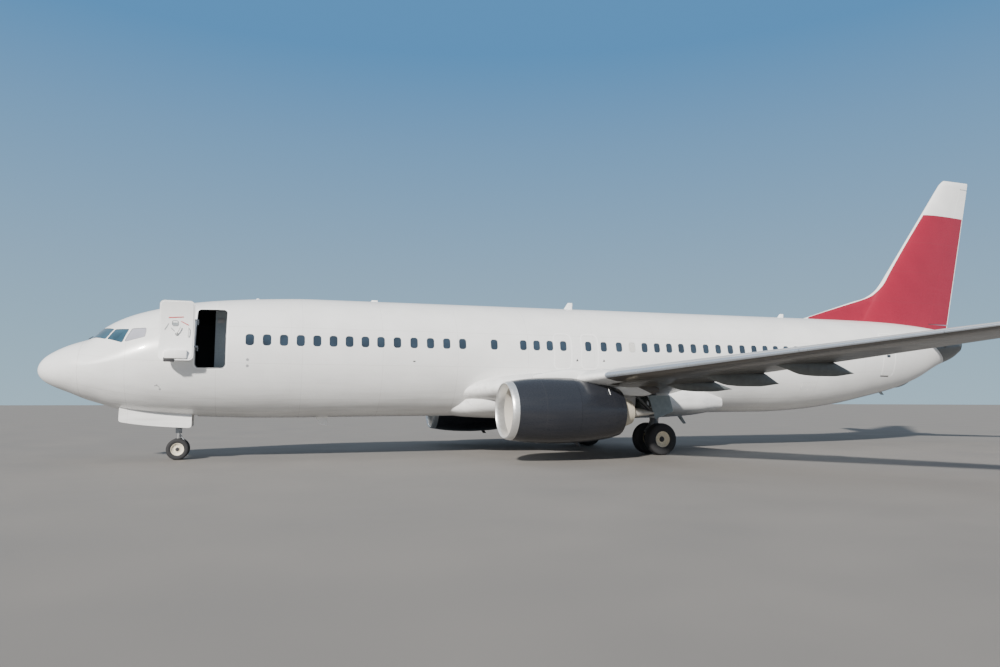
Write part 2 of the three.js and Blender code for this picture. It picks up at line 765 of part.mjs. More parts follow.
// Engine, cowl and pylon of one side
function buildEngine(side, word, wing, wide) {
  const [y, z] = [side * ENGINE.span, ENGINE.height];
  const pylonRing = ([station, top, bottom, half]) => [
    new THREE.Vector3(station, y + half * 0.55, top),
    new THREE.Vector3(station, y - half * 0.55, top),
    new THREE.Vector3(station, y - half, top - (top - bottom) * 0.3),
    new THREE.Vector3(station, y - half, bottom + (top - bottom) * 0.25),
    new THREE.Vector3(station, y - half * 0.5, bottom),
    new THREE.Vector3(station, y + half * 0.5, bottom),
    new THREE.Vector3(station, y + half, bottom + (top - bottom) * 0.25),
    new THREE.Vector3(station, y + half, top - (top - bottom) * 0.3),
  ];
  const core = turned(CORE, y, z, 28);
  const struts = Array.from({ length: STRUTS }, (_, i) => {
    const angle = (2 * Math.PI * (i + 0.5)) / STRUTS;
    const vane = new THREE.BoxGeometry(150, 16, 480);
    vane.translate(0, 0, 560);
    vane.rotateX(-angle);
    vane.translate(15150, y, z);
    return solid(vane);
  });
  const bored = struts
    .reduce((all, vane) => all.add(vane), core)
    .intersect(turned(STRUT_LIMIT, y, z, COWL_SIDES))
    .subtract(rod([FAN.station, y, z], [FAN.station + 710, y, z], FAN.bore, 16));

  add(`inlet_lip_${word}`, "bare_metal", turned(LIP, y, z, COWL_SIDES));
  add(`core_${word}`, "dark_metal", bored);
  add(`nozzle_${word}`, "dark_metal", turned(NOZZLE, y, z, 28));
  add(`exhaust_plug_${word}`, "dark_metal", turned(PLUG, y, z, 24));
  const cowl = turned(FAN_COWL, y, z, COWL_SIDES).subtract(wide);
  const sleeve = turned(SLEEVE, y, z, COWL_SIDES).subtract(wide);
  const hot = [...CORE.slice(1, -2), ...NOZZLE.slice(0, 3)].map(([s, r]) => [s, r + JOINT_GAP]);
  const pylon = loft(PYLON.map(pylonRing))
    .subtract(turned([[hot[0][0], 0], ...hot, [hot.at(-1)[0], 0]], y, z, 28))
    .subtract(wing);
  const slot = loft(
    PYLON.map(([s, top, bottom, half]) => pylonRing([s, top + 4, bottom - 4, half + 4])),
  );
  add(`fan_cowl_${word}`, "cowl_paint", cowl.subtract(slot));
  add(`reverser_sleeve_${word}`, "cowl_paint", sleeve.subtract(slot));
  add(`pylon_${word}`, "white_paint", pylon);

  const spinner = turned(
    [
      [FAN.station - 250 - FAN.spinner, 0],
      [FAN.station - 200 - FAN.spinner, 40],
      [FAN.station - 160, 205],
      [FAN.station - 90, FAN.root + 10],
      [FAN.station + 110, FAN.root + 20],
      [FAN.station + 110, 0],
    ],
    y,
    z,
    24,
  );
  const blade = loft(
    [
      // radius, half chord, half thickness
      [FAN.root - 40, 85, 12],
      [FAN.tip, 120, 7],
    ].map(([radius, chord, thick]) => {
      const turn = THREE.MathUtils.degToRad(FAN.pitch);
      return [
        [-chord, -thick],
        [chord, -thick],
        [chord, thick],
        [-chord, thick],
      ].map(
        ([along, across]) =>
          new THREE.Vector3(
            along * Math.cos(turn) - across * Math.sin(turn),
            along * Math.sin(turn) + across * Math.cos(turn),
            radius,
          ),
      );
    }),
  );
  const { vertProperties, triVerts } = blade.getMesh();
  let fan = spinner.add(rod([FAN.station + 60, y, z], [FAN.station + 640, y, z], FAN.shaft, 16));
  for (let i = 0; i < FAN.blades; i++) {
    const geometry = new THREE.BufferGeometry()
      .setAttribute("position", new THREE.BufferAttribute(Float32Array.from(vertProperties), 3))
      .setIndex(new THREE.BufferAttribute(Uint32Array.from(triVerts), 1));
    geometry.rotateX((2 * Math.PI * i) / FAN.blades);
    geometry.translate(FAN.station, y, z);
    fan = fan.add(solid(geometry));
  }
  add(`fan_${word}`, "dark_metal", fan);
}

// The space for both main wheels and, out to a span, for the legs that fold into the belly
function wheelWells(outermost, slotRoof) {
  return [-1, 1]
    .flatMap((side) => {
      const y = side * WELL.span;
      const ends = [side * WELL.span, -side * outermost].sort((a, b) => a - b);
      return [
        rod([WELL.station, y, WELL.below], [WELL.station, y, WELL.roof], WELL.radius, 28),
        box(WELL.station - WELL.slot, WELL.station + WELL.slot, ...ends, WELL.below, slotRoof),
      ];
    })
    .reduce((all, part) => all.add(part));
}

// Belly fairing, cut around the fuselage and both wings
function buildBelly(wings) {
  const rings = BELLY.map(([station, bottom, top, half]) =>
    Array.from({ length: 28 }, (_, i) => {
      const angle = (2 * Math.PI * i) / 28;
      const [c, s] = [Math.cos(angle), Math.sin(angle)];
      const middle = bottom + (top - bottom) * 0.45;
      const reach = s > 0 ? top - middle : middle - bottom;
      return new THREE.Vector3(
        station,
        half * Math.sign(c) * Math.abs(c) ** BELLY_POWER,
        middle + reach * Math.sign(s) * Math.abs(s) ** BELLY_POWER,
      );
    }),
  );
  let belly = loft(rings).subtract(fuselage(NOSE_END, BARREL_END, -JOINT_GAP));
  for (const wing of wings) belly = belly.subtract(wing);
  belly = belly.subtract(wheelWells(ALL_SPANS[0], WELL.slotRoof));
  add("belly_fairing", "white_paint", belly);
}

function tyre({ radius, half, bead }, x, y, z) {
  const rows = [
    [-half * 0.72, bead],
    [-half, bead + (radius - bead) * 0.45],
    [-half * 0.8, radius * 0.955],
    [-half * 0.42, radius],
    [half * 0.42, radius],
    [half * 0.8, radius * 0.955],
    [half, bead + (radius - bead) * 0.45],
    [half * 0.72, bead],
  ];
  return wheelRing(rows, x, y, z, TYRE_SIDES);
}

// Two wheels of a pair with the axle that they share
function twinWheels({ half, bead }, twin, axle, x, y, z) {
  const rim = bead - JOINT_GAP;
  const rows = [
    [-twin - half * 0.7, 0],
    [-twin - half * 0.7, axle + 20],
    [-twin - half * 0.25, axle + 40],
    [-twin - half * 0.25, rim * 0.82],
    [-twin - half * 0.7, rim],
    [-twin + half * 0.7, rim],
    [-twin + half * 0.7, axle],
  ];
  const mirrored = rows.map(([offset, radius]) => [-offset, radius]).reverse();
  return wheelRing([...rows, ...mirrored], x, y, z, TYRE_SIDES);
}

function buildMainGear(side, word, taken) {
  const { station: x, track, twin, head } = MAIN_GEAR;
  const y = side * track;
  const z = MAIN_TYRE.radius;
  const parts = [
    rod([x, y, MAIN_LEG.collar], [x, y, head], MAIN_LEG.outer, 18),
    rod([x, y, z], [x, y, MAIN_LEG.collar + 20], MAIN_LEG.piston, 16),
    rod([x, y, MAIN_LEG.collar - 60], [x, y, MAIN_LEG.collar + 60], MAIN_LEG.outer + 20, 18),
    box(x - 105, x + 105, y - 105, y + 105, z - 100, z + 110),
    // torsion links in front of the piston
    rod([x - 110, y, MAIN_LEG.collar + 10], [x - 330, y, (MAIN_LEG.collar + z) / 2], 34, 8),
    rod([x - 330, y, (MAIN_LEG.collar + z) / 2 + 10], [x - 80, y, z + 60], 34, 8),
    // side brace towards the fuselage, and the drag arm
    rod([x, y - side * 60, 1380], [x - 40, side * 1330, 2130], 60, 12),
    rod([x - 60, y, 1500], [x - 700, y - side * 60, 2120], 52, 12),
  ];
  const leg = parts
    .reduce((all, part) => all.add(part))
    .subtract(rod([x, y - 200, z], [x, y + 200, z], MAIN_LEG.bore, 16))
    .subtract(taken);
  add(`main_gear_leg_${word}`, "gear_paint", leg);
  const door = sidePlate(
    outlineShape([
      [x - 300, 2060],
      [x + 560, 2060],
      [x + 700, 1500],
      [x - 40, 1220],
    ]),
    y + side * (MAIN_LEG.outer + 26),
    y + side * (MAIN_LEG.outer + 52),
  )
    .add(box(x - 60, x + 60, ...[y + side * (MAIN_LEG.outer + 0.6), y + side * (MAIN_LEG.outer + 30)].sort((a, b) => a - b), 1400, 1900))
    .subtract(taken);
  add(`main_gear_door_${word}`, "white_paint", door);
  add(`main_wheel_hubs_${word}`, "wheel_paint", twinWheels(MAIN_TYRE, twin, MAIN_LEG.axle, x, y, z));
  for (const [way, place] of [
    [-1, "inner"],
    [1, "outer"],
  ]) {
    add(`main_tyre_${word}_${place}`, "tyre_rubber", tyre(MAIN_TYRE, x, y + side * way * twin, z));
  }
}

function buildNoseGear() {
  const { station: x, twin, head } = NOSE_GEAR;
  const z = NOSE_TYRE.radius;
  const leg = [
    rod([x, 0, NOSE_LEG.collar], [x, 0, head], NOSE_LEG.outer, 18),
    rod([x, 0, NOSE_LEG.collar + 190], [x, 0, NOSE_LEG.collar + 330], NOSE_LEG.outer + 25, 18),
    rod([x - 60, 120, 1350], [x - 900, 170, 2100], 36, 10),
    rod([x - 60, -120, 1350], [x - 900, -170, 2100], 36, 10),
    rod([x - 20, -190, 1350], [x - 20, 190, 1350], 44, 10),
  ].reduce((all, part) => all.add(part));
  const bored = leg
    .subtract(rod([x, 0, NOSE_LEG.collar - 10], [x, 0, NOSE_LEG.collar + 200], NOSE_LEG.bore, 18))
    .subtract(box(x - 1500, x + 500, -400, 400, BAY.roof - JOINT_GAP, 3000));
  add("nose_gear_leg", "gear_paint", bored);

  const fork = [
    rod([x, 0, z], [x, 0, NOSE_LEG.collar + 150], NOSE_LEG.piston, 16),
    box(x - 70, x + 70, -70, 70, z - 65, z + 75),
    // lower torsion link and the towing lug in front of it
    rod([x + 60, 0, z + 40], [x + 210, 0, z + 210], 22, 8),
    rod([x + 210, 0, z + 205], [x + 55, 0, NOSE_LEG.collar - 60], 22, 8),
    box(x - 160, x - 60, -45, 45, z - 40, z + 40),
  ].reduce((all, part) => all.add(part));
  const turning = fork.subtract(rod([x, -120, z], [x, 120, z], NOSE_LEG.axleBore, 16));
  add("nose_gear_fork", "gear_paint", turning);
  add("nose_wheel_hubs", "wheel_paint", twinWheels(NOSE_TYRE, twin, NOSE_LEG.axle, x, 0, z));
  for (const [side, word] of [
    [-1, "left"],
    [1, "right"],
  ]) {
    add(`nose_tyre_${word}`, "tyre_rubber", tyre(NOSE_TYRE, x, side * twin, z));
    const keelAt = (station) => rowAt(FUSELAGE, station)[2] + PARKED_SLOPE * station;
    const rings = [BAY_DOOR.front, 3200, BAY_DOOR.back].map((station) => {
      const top = keelAt(station) + 130;
      const foot = keelAt(station) - BAY_DOOR.drop;
      return [
        new THREE.Vector3(station, side * BAY_DOOR.out, top),
        new THREE.Vector3(station, side * (BAY_DOOR.out + BAY_DOOR.thick), top),
        new THREE.Vector3(station, side * (BAY_DOOR.out + BAY_DOOR.thick + BAY_DOOR.splay), foot),
        new THREE.Vector3(station, side * (BAY_DOOR.out + BAY_DOOR.splay), foot),
      ];
    });
    const door = loft(rings).subtract(fuselage(RADOME_END, NOSE_END, -JOINT_GAP));
    add(`nose_gear_door_${word}`, "white_paint", door);
  }
}

function buildWingsAndEngines() {
  const wings = [
    [-1, "left"],
    [1, "right"],
  ].map(([side, word]) => ({ side, word, ...buildWing(side, word) }));
  for (const { side, word, wing, whole, wide } of wings) {
    buildEngine(side, word, whole, wide);
    add(`wing_${word}`, "grey_paint", wing);
  }
  buildBelly(wings.map(({ whole }) => whole));
  return wings;
}

buildFuselage();
buildEntryDoor();
buildTail();
for (const { side, word, whole } of buildWingsAndEngines()) {
  buildMainGear(side, word, whole.add(fuselage(NOSE_END, BARREL_END, -JOINT_GAP)));
}
buildNoseGear();

export default airframe;
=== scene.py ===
import math

import bmesh
import bpy
import numpy as np
from bpy.props import FloatProperty, FloatVectorProperty, IntProperty, PointerProperty
from mathutils import Matrix, Vector
from mathutils.bvhtree import BVHTree


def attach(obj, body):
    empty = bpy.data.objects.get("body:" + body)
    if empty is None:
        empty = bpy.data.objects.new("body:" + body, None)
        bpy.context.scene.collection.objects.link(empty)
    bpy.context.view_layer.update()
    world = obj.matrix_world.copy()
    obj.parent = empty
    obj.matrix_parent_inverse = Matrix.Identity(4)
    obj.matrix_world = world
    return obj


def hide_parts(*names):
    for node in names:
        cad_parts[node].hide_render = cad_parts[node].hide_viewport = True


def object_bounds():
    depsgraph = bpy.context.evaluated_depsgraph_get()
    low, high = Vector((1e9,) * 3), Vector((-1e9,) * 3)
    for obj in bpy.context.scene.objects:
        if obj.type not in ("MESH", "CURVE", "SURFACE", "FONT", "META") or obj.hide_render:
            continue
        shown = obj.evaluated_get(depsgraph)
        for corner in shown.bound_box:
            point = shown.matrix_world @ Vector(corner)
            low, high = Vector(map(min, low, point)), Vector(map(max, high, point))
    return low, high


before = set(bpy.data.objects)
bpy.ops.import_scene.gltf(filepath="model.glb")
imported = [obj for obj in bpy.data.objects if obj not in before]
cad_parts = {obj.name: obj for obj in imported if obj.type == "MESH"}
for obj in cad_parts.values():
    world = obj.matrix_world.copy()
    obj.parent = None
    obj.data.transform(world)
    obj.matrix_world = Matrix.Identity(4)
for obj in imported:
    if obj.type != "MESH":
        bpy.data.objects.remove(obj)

CAD_BOX = [list(corner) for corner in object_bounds()]

bl_info = {
    "name": "Parked airliner",
    "version": (1, 0, 0),
    "blender": (4, 5, 0),
    "location": "3D View > Sidebar > Airliner",
    "description": "Builds the surfaces, fittings and finishes of a parked airliner",
    "category": "Add Mesh",
}

# Stations are metres behind the nose tip, spans run to the right, heights are above the ground
NOSE = CAD_BOX[0][0]
PARKED_SLOPE = 0.006
ROUND = 144
SIDES = ((-1, "left"), (1, "right"))
FAR = 41.0  # a station behind everything
WIDE = 2.4  # a span outside the fuselage
HIGH = 14.0  # a height above everything

FUSELAGE = [
    # station, crown, keel, half breadth, level of greatest breadth, fullness of the upper half
    (0.0, 2.81, 2.75, 0.035, 2.78, 2.0),
    (0.045, 2.99, 2.61, 0.215, 2.782, 2.0),
    (0.18, 3.17, 2.45, 0.43, 2.788, 2.0),
    (0.49, 3.39, 2.265, 0.725, 2.80, 2.0),
    (0.9, 3.59, 2.09, 0.97, 2.83, 1.95),
    (1.25, 3.715, 1.93, 1.115, 2.86, 1.8),
    (1.36, 3.755, 1.885, 1.158, 2.873, 1.66),
    (1.73, 4.10, 1.76, 1.285, 2.92, 1.5),
    (2.15, 4.37, 1.615, 1.405, 2.985, 1.58),
    (2.62, 4.575, 1.51, 1.525, 3.05, 1.75),
    (3.22, 4.755, 1.43, 1.65, 3.14, 1.9),
    (4.47, 5.025, 1.335, 1.80, 3.28, 2.0),
    (5.5, 5.14, 1.29, 1.855, 3.345, 2.0),
    (6.4, 5.205, 1.265, 1.874, 3.375, 2.0),
    (8.0, 5.266, 1.256, 1.88, 3.386, 2.0),
    (26.3, 5.266, 1.256, 1.88, 3.386, 2.0),
    (28.0, 5.266, 1.325, 1.862, 3.42, 2.0),
    (30.14, 5.264, 1.55, 1.75, 3.53, 2.0),
    (31.83, 5.25, 1.85, 1.56, 3.70, 2.0),
    (33.3, 5.215, 2.15, 1.325, 3.88, 2.0),
    (34.8, 5.13, 2.60, 1.03, 4.05, 2.0),
    (36.3, 4.99, 3.27, 0.69, 4.215, 2.0),
    (37.37, 4.83, 3.64, 0.39, 4.285, 2.0),
    (38.02, 4.68, 4.02, 0.215, 4.35, 2.0),
]
TAIL_JOINT = (35.45, 4.28, 1.81, 4.45, 2.0)  # station, then a level and the slant below it and above it
LAP_JOINTS = (3.5, 0.26, 36)  # level they turn about, first angle, pitch in degrees
RADOME_END, NOSE_END, BARREL_END, TAIL_END, CONE_END = 1.25, 7.3, 26.05, 36.3, 37.88
EXHAUST_RADIUS = 0.15
WINDOW_RUNS = [
    # first station, last station, number of windows
    (6.07, 10.12, 9),
    (10.66, 12.89, 5),
    (14.02, 14.02, 1),
    (15.09, 16.09, 3),
    (16.61, 16.61, 1),
    (17.59, 17.59, 1),
    (18.21, 18.83, 2),
    (19.37, 21.46, 5),
    (22.00, 24.77, 6),
    (25.30, 29.87, 10),
]
# Windows with a shade drawn, counted from the front, and the share it leaves open below
SHADES = {22: 0.0}
PANES = [
    # corners of the left flight deck panes as station, span, height
    [(1.36, -0.05, 3.72), (1.73, -0.05, 4.08), (2.14, -0.72, 4.05), (1.95, -0.93, 3.71)],
    [(2.00, -0.94, 3.71), (2.18, -0.76, 4.04), (2.60, -1.09, 4.04), (2.46, -1.32, 3.59)],
    [
        (2.51, -1.33, 3.61), (2.68, -1.13, 4.06), (3.09, -1.30, 4.07), (3.11, -1.37, 3.95),
        (3.09, -1.47, 3.78),
    ],
]
DOORWAY = (4.51, 5.39, 2.85, 4.71, 0.12)  # front, back, sill, head, corner radius
ROOM = (4.38, 5.90, -2.0, 1.25, 2.85, 4.80)  # stations, spans and heights of the entry room
ROOM_WALL = 0.09
CABINET = (4.98, 5.86, -0.19, 1.08, 2.835, 4.56)
BAY = (2.42, 4.56, 0.385, 2.15)  # nose wheel bay: front, back, half width, roof
BAY_DOOR = (2.33, 4.40, 0.425, 0.026, 0.36, 0.06)  # front, back, span, thickness, drop, splay
LEAF = (3.545, 4.50, 3.05, 4.815)  # the open entry door
LEAF_OUTER, LEAF_THICK, LEAF_BULGE = 1.985, 0.095, 0.15
OUTLINES = [
    # side, front, back, bottom, top, corner radius of a closed door or hatch
    (-1, 31.65, 32.41, 2.96, 4.74, 0.13),
    (1, 4.62, 5.38, 2.90, 4.60, 0.13),
    (1, 31.35, 32.11, 2.96, 4.74, 0.13),
    (-1, 16.28, 16.90, 3.02, 4.22, 0.16),
    (-1, 17.34, 17.95, 3.03, 4.23, 0.16),
    (1, 16.28, 16.90, 3.02, 4.22, 0.16),
    (1, 17.34, 17.95, 3.03, 4.23, 0.16),
    (1, 8.45, 9.70, 1.78, 2.70, 0.08),
    (1, 24.70, 25.90, 1.90, 2.76, 0.08),
    (-1, 27.20, 27.60, 2.30, 2.60, 0.04),
    (1, 22.20, 22.62, 3.30, 3.62, 0.04),
]

WING = [
    # span, leading edge station, chord, leading edge height, thickness ratio, nose-up twist in degrees
    (1.3, 12.9, 7.87, 2.19, 0.142, 1.2),
    (1.88, 13.35, 7.4, 2.24, 0.14, 1.1),
    (4.83, 15.55, 5.05, 2.515, 0.122, 0.6),
    (5.9, 16.15, 4.45, 2.62, 0.110, 0.4),
    (11.6, 19.11, 2.97, 3.136, 0.088, 0.0),
    (17.0, 21.916, 1.52, 3.625, 0.082, -0.4),
    (17.16, 22.33, 1.08, 3.642, 0.06, -0.4),
]
STABILIZER = [
    (0.5, 34.01, 3.56, 4.58, 0.11, 0.0),
    (0.9, 34.28, 3.42, 4.625, 0.11, 0.0),
    (7.0, 38.441, 0.985, 5.372, 0.09, 0.0),
    (7.175, 38.8, 0.67, 5.394, 0.05, 0.0),
]
WING_CAMBER = 0.014
METAL_EDGE = (0.013, 0.015)  # share of the chord where the bare leading edge ends
# The white front by the pylon is partly paint and partly painted light on the sunlit nose of the leading edge
WHITE_ROOT = (2.6, 5.9, 0.14)  # span of the white root, span and share of the white front by the pylon
WHITE_WEDGE = (16.15, 0.85, 0.53)  # station, half width there, narrowing behind it
EDGE_THICK = 0.0022  # half thickness of a trailing edge, as a share of the chord
SLATS = [(5.65, 8.31), (8.32, 11.01), (11.02, 13.76), (13.77, 16.55)]  # inner and outer spans
SLAT_SHARE = 0.1
FLAPS = [
    # name, inner span, outer span, share of the chord where it starts
    ("flap_inboard", 2.08, 4.56, 0.74),
    ("flap_outboard", 5.25, 11.65, 0.72),
]
AILERON = (12.05, 15.9, 0.775, 0.026)  # inner and outer span, share of the hinge line, gap at the ends
ELEVATOR = (1.24, 6.65, 0.72, 0.026)
SPOILERS = [
    # inner span, outer span, from and to share of the chord
    (2.25, 4.35, 0.625, 0.725),
    (5.4, 6.9, 0.60, 0.71),
    (6.95, 8.45, 0.60, 0.71),
    (8.5, 10.0, 0.60, 0.71),
    (10.05, 11.5, 0.60, 0.71),
]
FAIRINGS = [
    # span, front station, back station, height of its back tip
    (5.01, 18.55, 21.30, 2.24),
    (7.1, 18.73, 21.45, 2.37),
    (9.3, 19.56, 22.18, 2.61),
]
# share of the length, height of the underside over the back tip
FAIRING_FLOOR = [(0, 0.20), (0.14, 0.09), (0.33, -0.05), (0.54, -0.08), (0.72, -0.08), (1, 0.0)]
FAIRING_HALF = 0.125
BELLY = [
    # station, bottom, top, half breadth
    (12.6, 1.45, 2.10, 0.8),
    (13.0, 1.35, 2.30, 1.1),
    (13.35, 1.30, 2.62, 1.52),
    (13.9, 1.265, 2.86, 1.86),
    (14.6, 1.235, 2.93, 2.01),
    (17.0, 1.19, 2.85, 2.06),
    (20.5, 1.20, 2.72, 2.03),
    (22.3, 1.27, 2.50, 1.8),
    (23.6, 1.44, 2.2, 1.33),
]
BELLY_POWER = 0.72
WELL = (19.6, 0.76, 0.6, 0.9, 1.95, 0.24, 2.6)  # station, span, radius, below, roof, half slot, slot roof

FIN = [
    # height, leading edge station, trailing edge station, thickness
    (4.7, 31.34, 37.115, 0.62),
    (5.3, 31.82, 37.27, 0.59),
    (12.25, 37.295, 39.145, 0.235),
    (12.52, 37.57, 39.22, 0.12),
]
# station and height along the inner side of the fin's white front edge
FIN_EDGE = [
    (29.13, 5.52),
    (30.02, 5.79),
    (31.36, 6.18),
    (32.34, 6.47),
    (32.87, 6.70),
    (33.27, 7.04),
    (33.55, 7.36),
    (33.87, 7.80),
    (34.95, 9.2),
    (36.14, 10.7),
]
DORSAL = [
    # station, top, half width at its foot
    (28.75, 5.42, 0.025),
    (30.14, 5.85, 0.06),
    (31.72, 6.33, 0.11),
    (32.26, 6.48, 0.135),
    (32.63, 6.65, 0.15),
    (33.0, 6.89, 0.17),
    (33.3, 7.20, 0.19),
    (34.0, 8.02, 0.21),
]
FIN_BAND = 10.68  # height where the fin's white top starts
RUDDER_FOOT, RUDDER_HEAD = (35.99, 5.42), (38.64, 12.18)  # station and height of the hinge line's ends
RUDDER_NOSES, RUDDER_END = (0.15, 0.064), 0.034
PIN_RADIUS, PIN_BORE, PIN_REACH, PIN_ROOT = 0.0128, 0.0158, 0.12, 0.09

ENGINE_SPAN, ENGINE_AXIS = 4.83, 1.57
AXES = {side: Vector((side * ENGINE_SPAN, ENGINE_AXIS)) for side, _ in SIDES}
LIP_FACE = [(13.53, 0.885), (13.4, 0.862), (13.335, 0.825), (13.35, 0.795), (13.44, 0.776), (13.62, 0.779)]
LIP_BACK = [(13.62, 0.815), (13.53, 0.85)]
COWL_OUTER = [(13.531, 0.886), (13.9, 0.94), (14.4, 0.985), (15.0, 1.008), (15.45, 1.003)]
COWL_INNER = [(15.45, 0.85), (14.9, 0.80), (14.25, 0.80), (13.9, 0.787), (13.621, 0.779)]
SLEEVE_OUTER = [(15.456, 1.002), (15.8, 0.975), (16.1, 0.945), (16.7, 0.848), (17.08, 0.74)]
SLEEVE_INNER = [(17.08, 0.722), (16.6, 0.783), (16.0, 0.85), (15.456, 0.85)]
CORE_SIDE = [(14.93, 0.40), (15.3, 0.47), (16.2, 0.59), (16.9, 0.56), (17.15, 0.52)]
NOZZLE_OUTER = [(17.151, 0.521), (17.33, 0.46), (17.56, 0.37)]
NOZZLE_INNER = [(17.56, 0.352), (17.33, 0.43), (17.151, 0.47)]
PLUG_SIDE = [(17.151, 0.32), (17.45, 0.24), (17.7, 0.16), (18.05, 0.10), (18.42, 0.03), (18.46, 0.0)]
SPINNER_SIDE = [(13.89, 0.0), (13.9, 0.022), (13.96, 0.056), (14.31, 0.205), (14.38, 0.245)]
FAN_STATION = 14.47
DROOP = (15.5, 0.035)  # station where an engine starts to bend down, and the fall behind it
INLET = (0.815, 14.28, 14.66)  # radius inside the cowl, and the stations of the fan's case
BLADE_ROWS = [
    # radius, half chord, half thickness, pitch in degrees
    (0.21, 0.085, 0.011, 28),
    (0.35, 0.098, 0.0085, 38),
    (0.5, 0.110, 0.0065, 47),
    (0.65, 0.118, 0.005, 55),
    (0.782, 0.116, 0.004, 60),
]
PYLON = [
    # station, top, bottom, half width
    (14.25, 2.62, 2.48, 0.04),
    (14.66, 2.715, 2.4, 0.11),
    (14.9, 2.76, 2.03, 0.15),
    (15.5, 2.84, 2.03, 0.19),
    (16.6, 2.7, 2.08, 0.195),
    (17.2, 2.6, 2.02, 0.18),
    (18.0, 2.5, 2.01, 0.11),
    (18.65, 2.27, 2.14, 0.012),
]
# Painted shade: above this line the pylon takes the wings' dark underside grey
PYLON_SHADE_LINE = (17.41, 2.45, 0.394)  # station and height of the line its grey starts at, and the fall
MAIN_GEAR = (19.6, 2.86, 0.43, 2.3)  # station, track, half the distance between the twin tyres, head
MAIN_TYRE = (0.545, 0.205, 0.267)  # radius, half width, bead radius
MAIN_AXLE, MAIN_COLLAR = 0.066, 1.06
NOSE_GEAR = (4.0, 0.21, 2.14)
NOSE_TYRE = (0.335, 0.096, 0.19)
NOSE_AXLE, NOSE_COLLAR = 0.038, 0.83
# rows of share of the length and radius, along the legs and what is on them
MAIN_POST = [
    (0, 0.128), (0.01, 0.155), (0.09, 0.155), (0.11, 0.137), (0.5, 0.13), (0.53, 0.15), (0.62, 0.15),
    (0.65, 0.134), (1, 0.134),
]
MAIN_BRACE = [(0, 0.052), (0.1, 0.06), (0.45, 0.06), (0.48, 0.075), (0.54, 0.075), (0.57, 0.05), (1, 0.05)]
NOSE_POST = [
    (0, 0.085), (0.01, 0.098), (0.10, 0.098), (0.12, 0.092), (0.15, 0.092), (0.16, 0.118), (0.25, 0.118),
    (0.26, 0.094), (0.9, 0.094), (1, 0.08),
]
NOSE_BRACE = [(0, 0.03), (0.1, 0.036), (0.5, 0.036), (0.52, 0.045), (0.58, 0.045), (0.6, 0.034), (1, 0.034)]
BRAKE = [(0, 0.17), (0.12, 0.19), (0.3, 0.19), (0.32, 0.18), (0.5, 0.18), (0.52, 0.19), (1, 0.19)]
CLAMP = [(0, 0.14), (0.1, 0.153), (0.9, 0.153), (1, 0.14)]
# distance behind the leg and height of the points of a brake line
BRAKE_LINE = [
    (0.10, 2.15), (0.165, 1.9), (0.17, 1.3), (0.16, 1.08), (0.23, 0.86), (0.17, 0.70), (0.10, 0.62)
]
WICKS = [
    # table, camber, inner and outer span, number of static wicks, length
    (WING, WING_CAMBER, 16.05, 16.95, 5, 0.15),
    (STABILIZER, 0.0, 6.72, 6.98, 3, 0.045),
]
FLOOR_REACH = 400
SUN_TURN = (math.radians(61), 0, math.radians(-40))
CAMERA_SPOT = (6.299, -25.149, 1.834)  # station, span and height
CAMERA_TURN = (math.pi / 2 + 0.095, 0, -0.328)
CAMERA_LENS = 25.73


def length(name, description, default):
    return FloatProperty(name=name, description=description, default=default, unit="LENGTH")


def count(name, description, default, least):
    return IntProperty(name=name, description=description, default=default, min=least)


def paint(name, description, default):
    return FloatVectorProperty(name=name, description=description, subtype="COLOR", default=default)


class Sizes(bpy.types.PropertyGroup):
    """Sizes of the openings, gaps and small fittings."""

    window_width: length("Window width", "Width of a cabin window", 0.262)
    window_height: length("Window height", "Height of a cabin window", 0.365)
    window_level: length("Window level", "Height of the windows' middle at the nose", 3.705)
    recess: length("Recess", "Depth of the opening for a pane", 0.024)
    seam: length("Seam", "Width of the gap round a door or panel", 0.014)
    seam_depth: length("Seam depth", "Depth of that gap", 0.008)
    swing_gap: length("Swing gap", "Gap between a control surface's nose and the wing", 0.009)
    fan_blades: count("Fan blades", "Blades in each fan", 24, 12)
    guide_vanes: count("Guide vanes", "Vanes behind each fan", 44, 8)
    hub_bolts: count("Hub bolts", "Bolts round a wheel", 18, 4)
    hub_holes: count("Hub holes", "Holes round a wheel", 9, 3)


class Colours(bpy.types.PropertyGroup):
    """Colours of the finishes."""

    white: paint("White", "Fuselage paint", (0.81, 0.81, 0.80))
    red: paint("Red", "Fin paint", (0.27, 0.012, 0.032))
    cowl: paint("Cowl", "Engine cowl paint", (0.016, 0.018, 0.024))
    upper_grey: paint("Upper grey", "Top of the wings", (0.46, 0.47, 0.48))
    # Painted shade: far darker than the top, standing in for the shade under the wings; the pylon's upper
    # back takes it too
    painted_shade_grey: paint("Lower grey", "Underside of the wings", (0.085, 0.076, 0.066))
    cone: paint("Cone", "Tail cone metal", (0.105, 0.12, 0.125))


# Curves and points


def full_turn(steps):
    """Angles spread evenly round a circle."""
    return np.linspace(0, 2 * math.pi, steps, endpoint=False)


def swollen(value, power):
    """A sine or cosine raised to a power, with its sign kept."""
    return math.copysign(abs(value) ** power, value)


def smooth_rule(keys, values):
    """A smooth curve through the rows of a table that never swings past them."""
    x, y = np.array(keys, float), np.array(values, float)
    step = np.diff(x)
    rise = np.diff(y) / step
    slope = np.zeros_like(y)
    slope[0], slope[-1] = rise[0], rise[-1]
    for i in range(1, len(x) - 1):
        if rise[i - 1] * rise[i] > 0:
            before, after = 2 * step[i] + step[i - 1], step[i] + 2 * step[i - 1]
            slope[i] = (before + after) / (before / rise[i - 1] + after / rise[i])

    def at(q):
        q = np.clip(np.asarray(q, float), x[0], x[-1])
        i = np.clip(np.searchsorted(x, q, side="right") - 1, 0, len(step) - 1)
        t = (q - x[i]) / step[i]
        stay = 1 - t
        return (
            y[i] * stay**2 * (1 + 2 * t)
            + y[i + 1] * t**2 * (3 - 2 * t)
            + step[i] * t * stay * (slope[i] * stay - slope[i + 1] * t)
        )

    return at


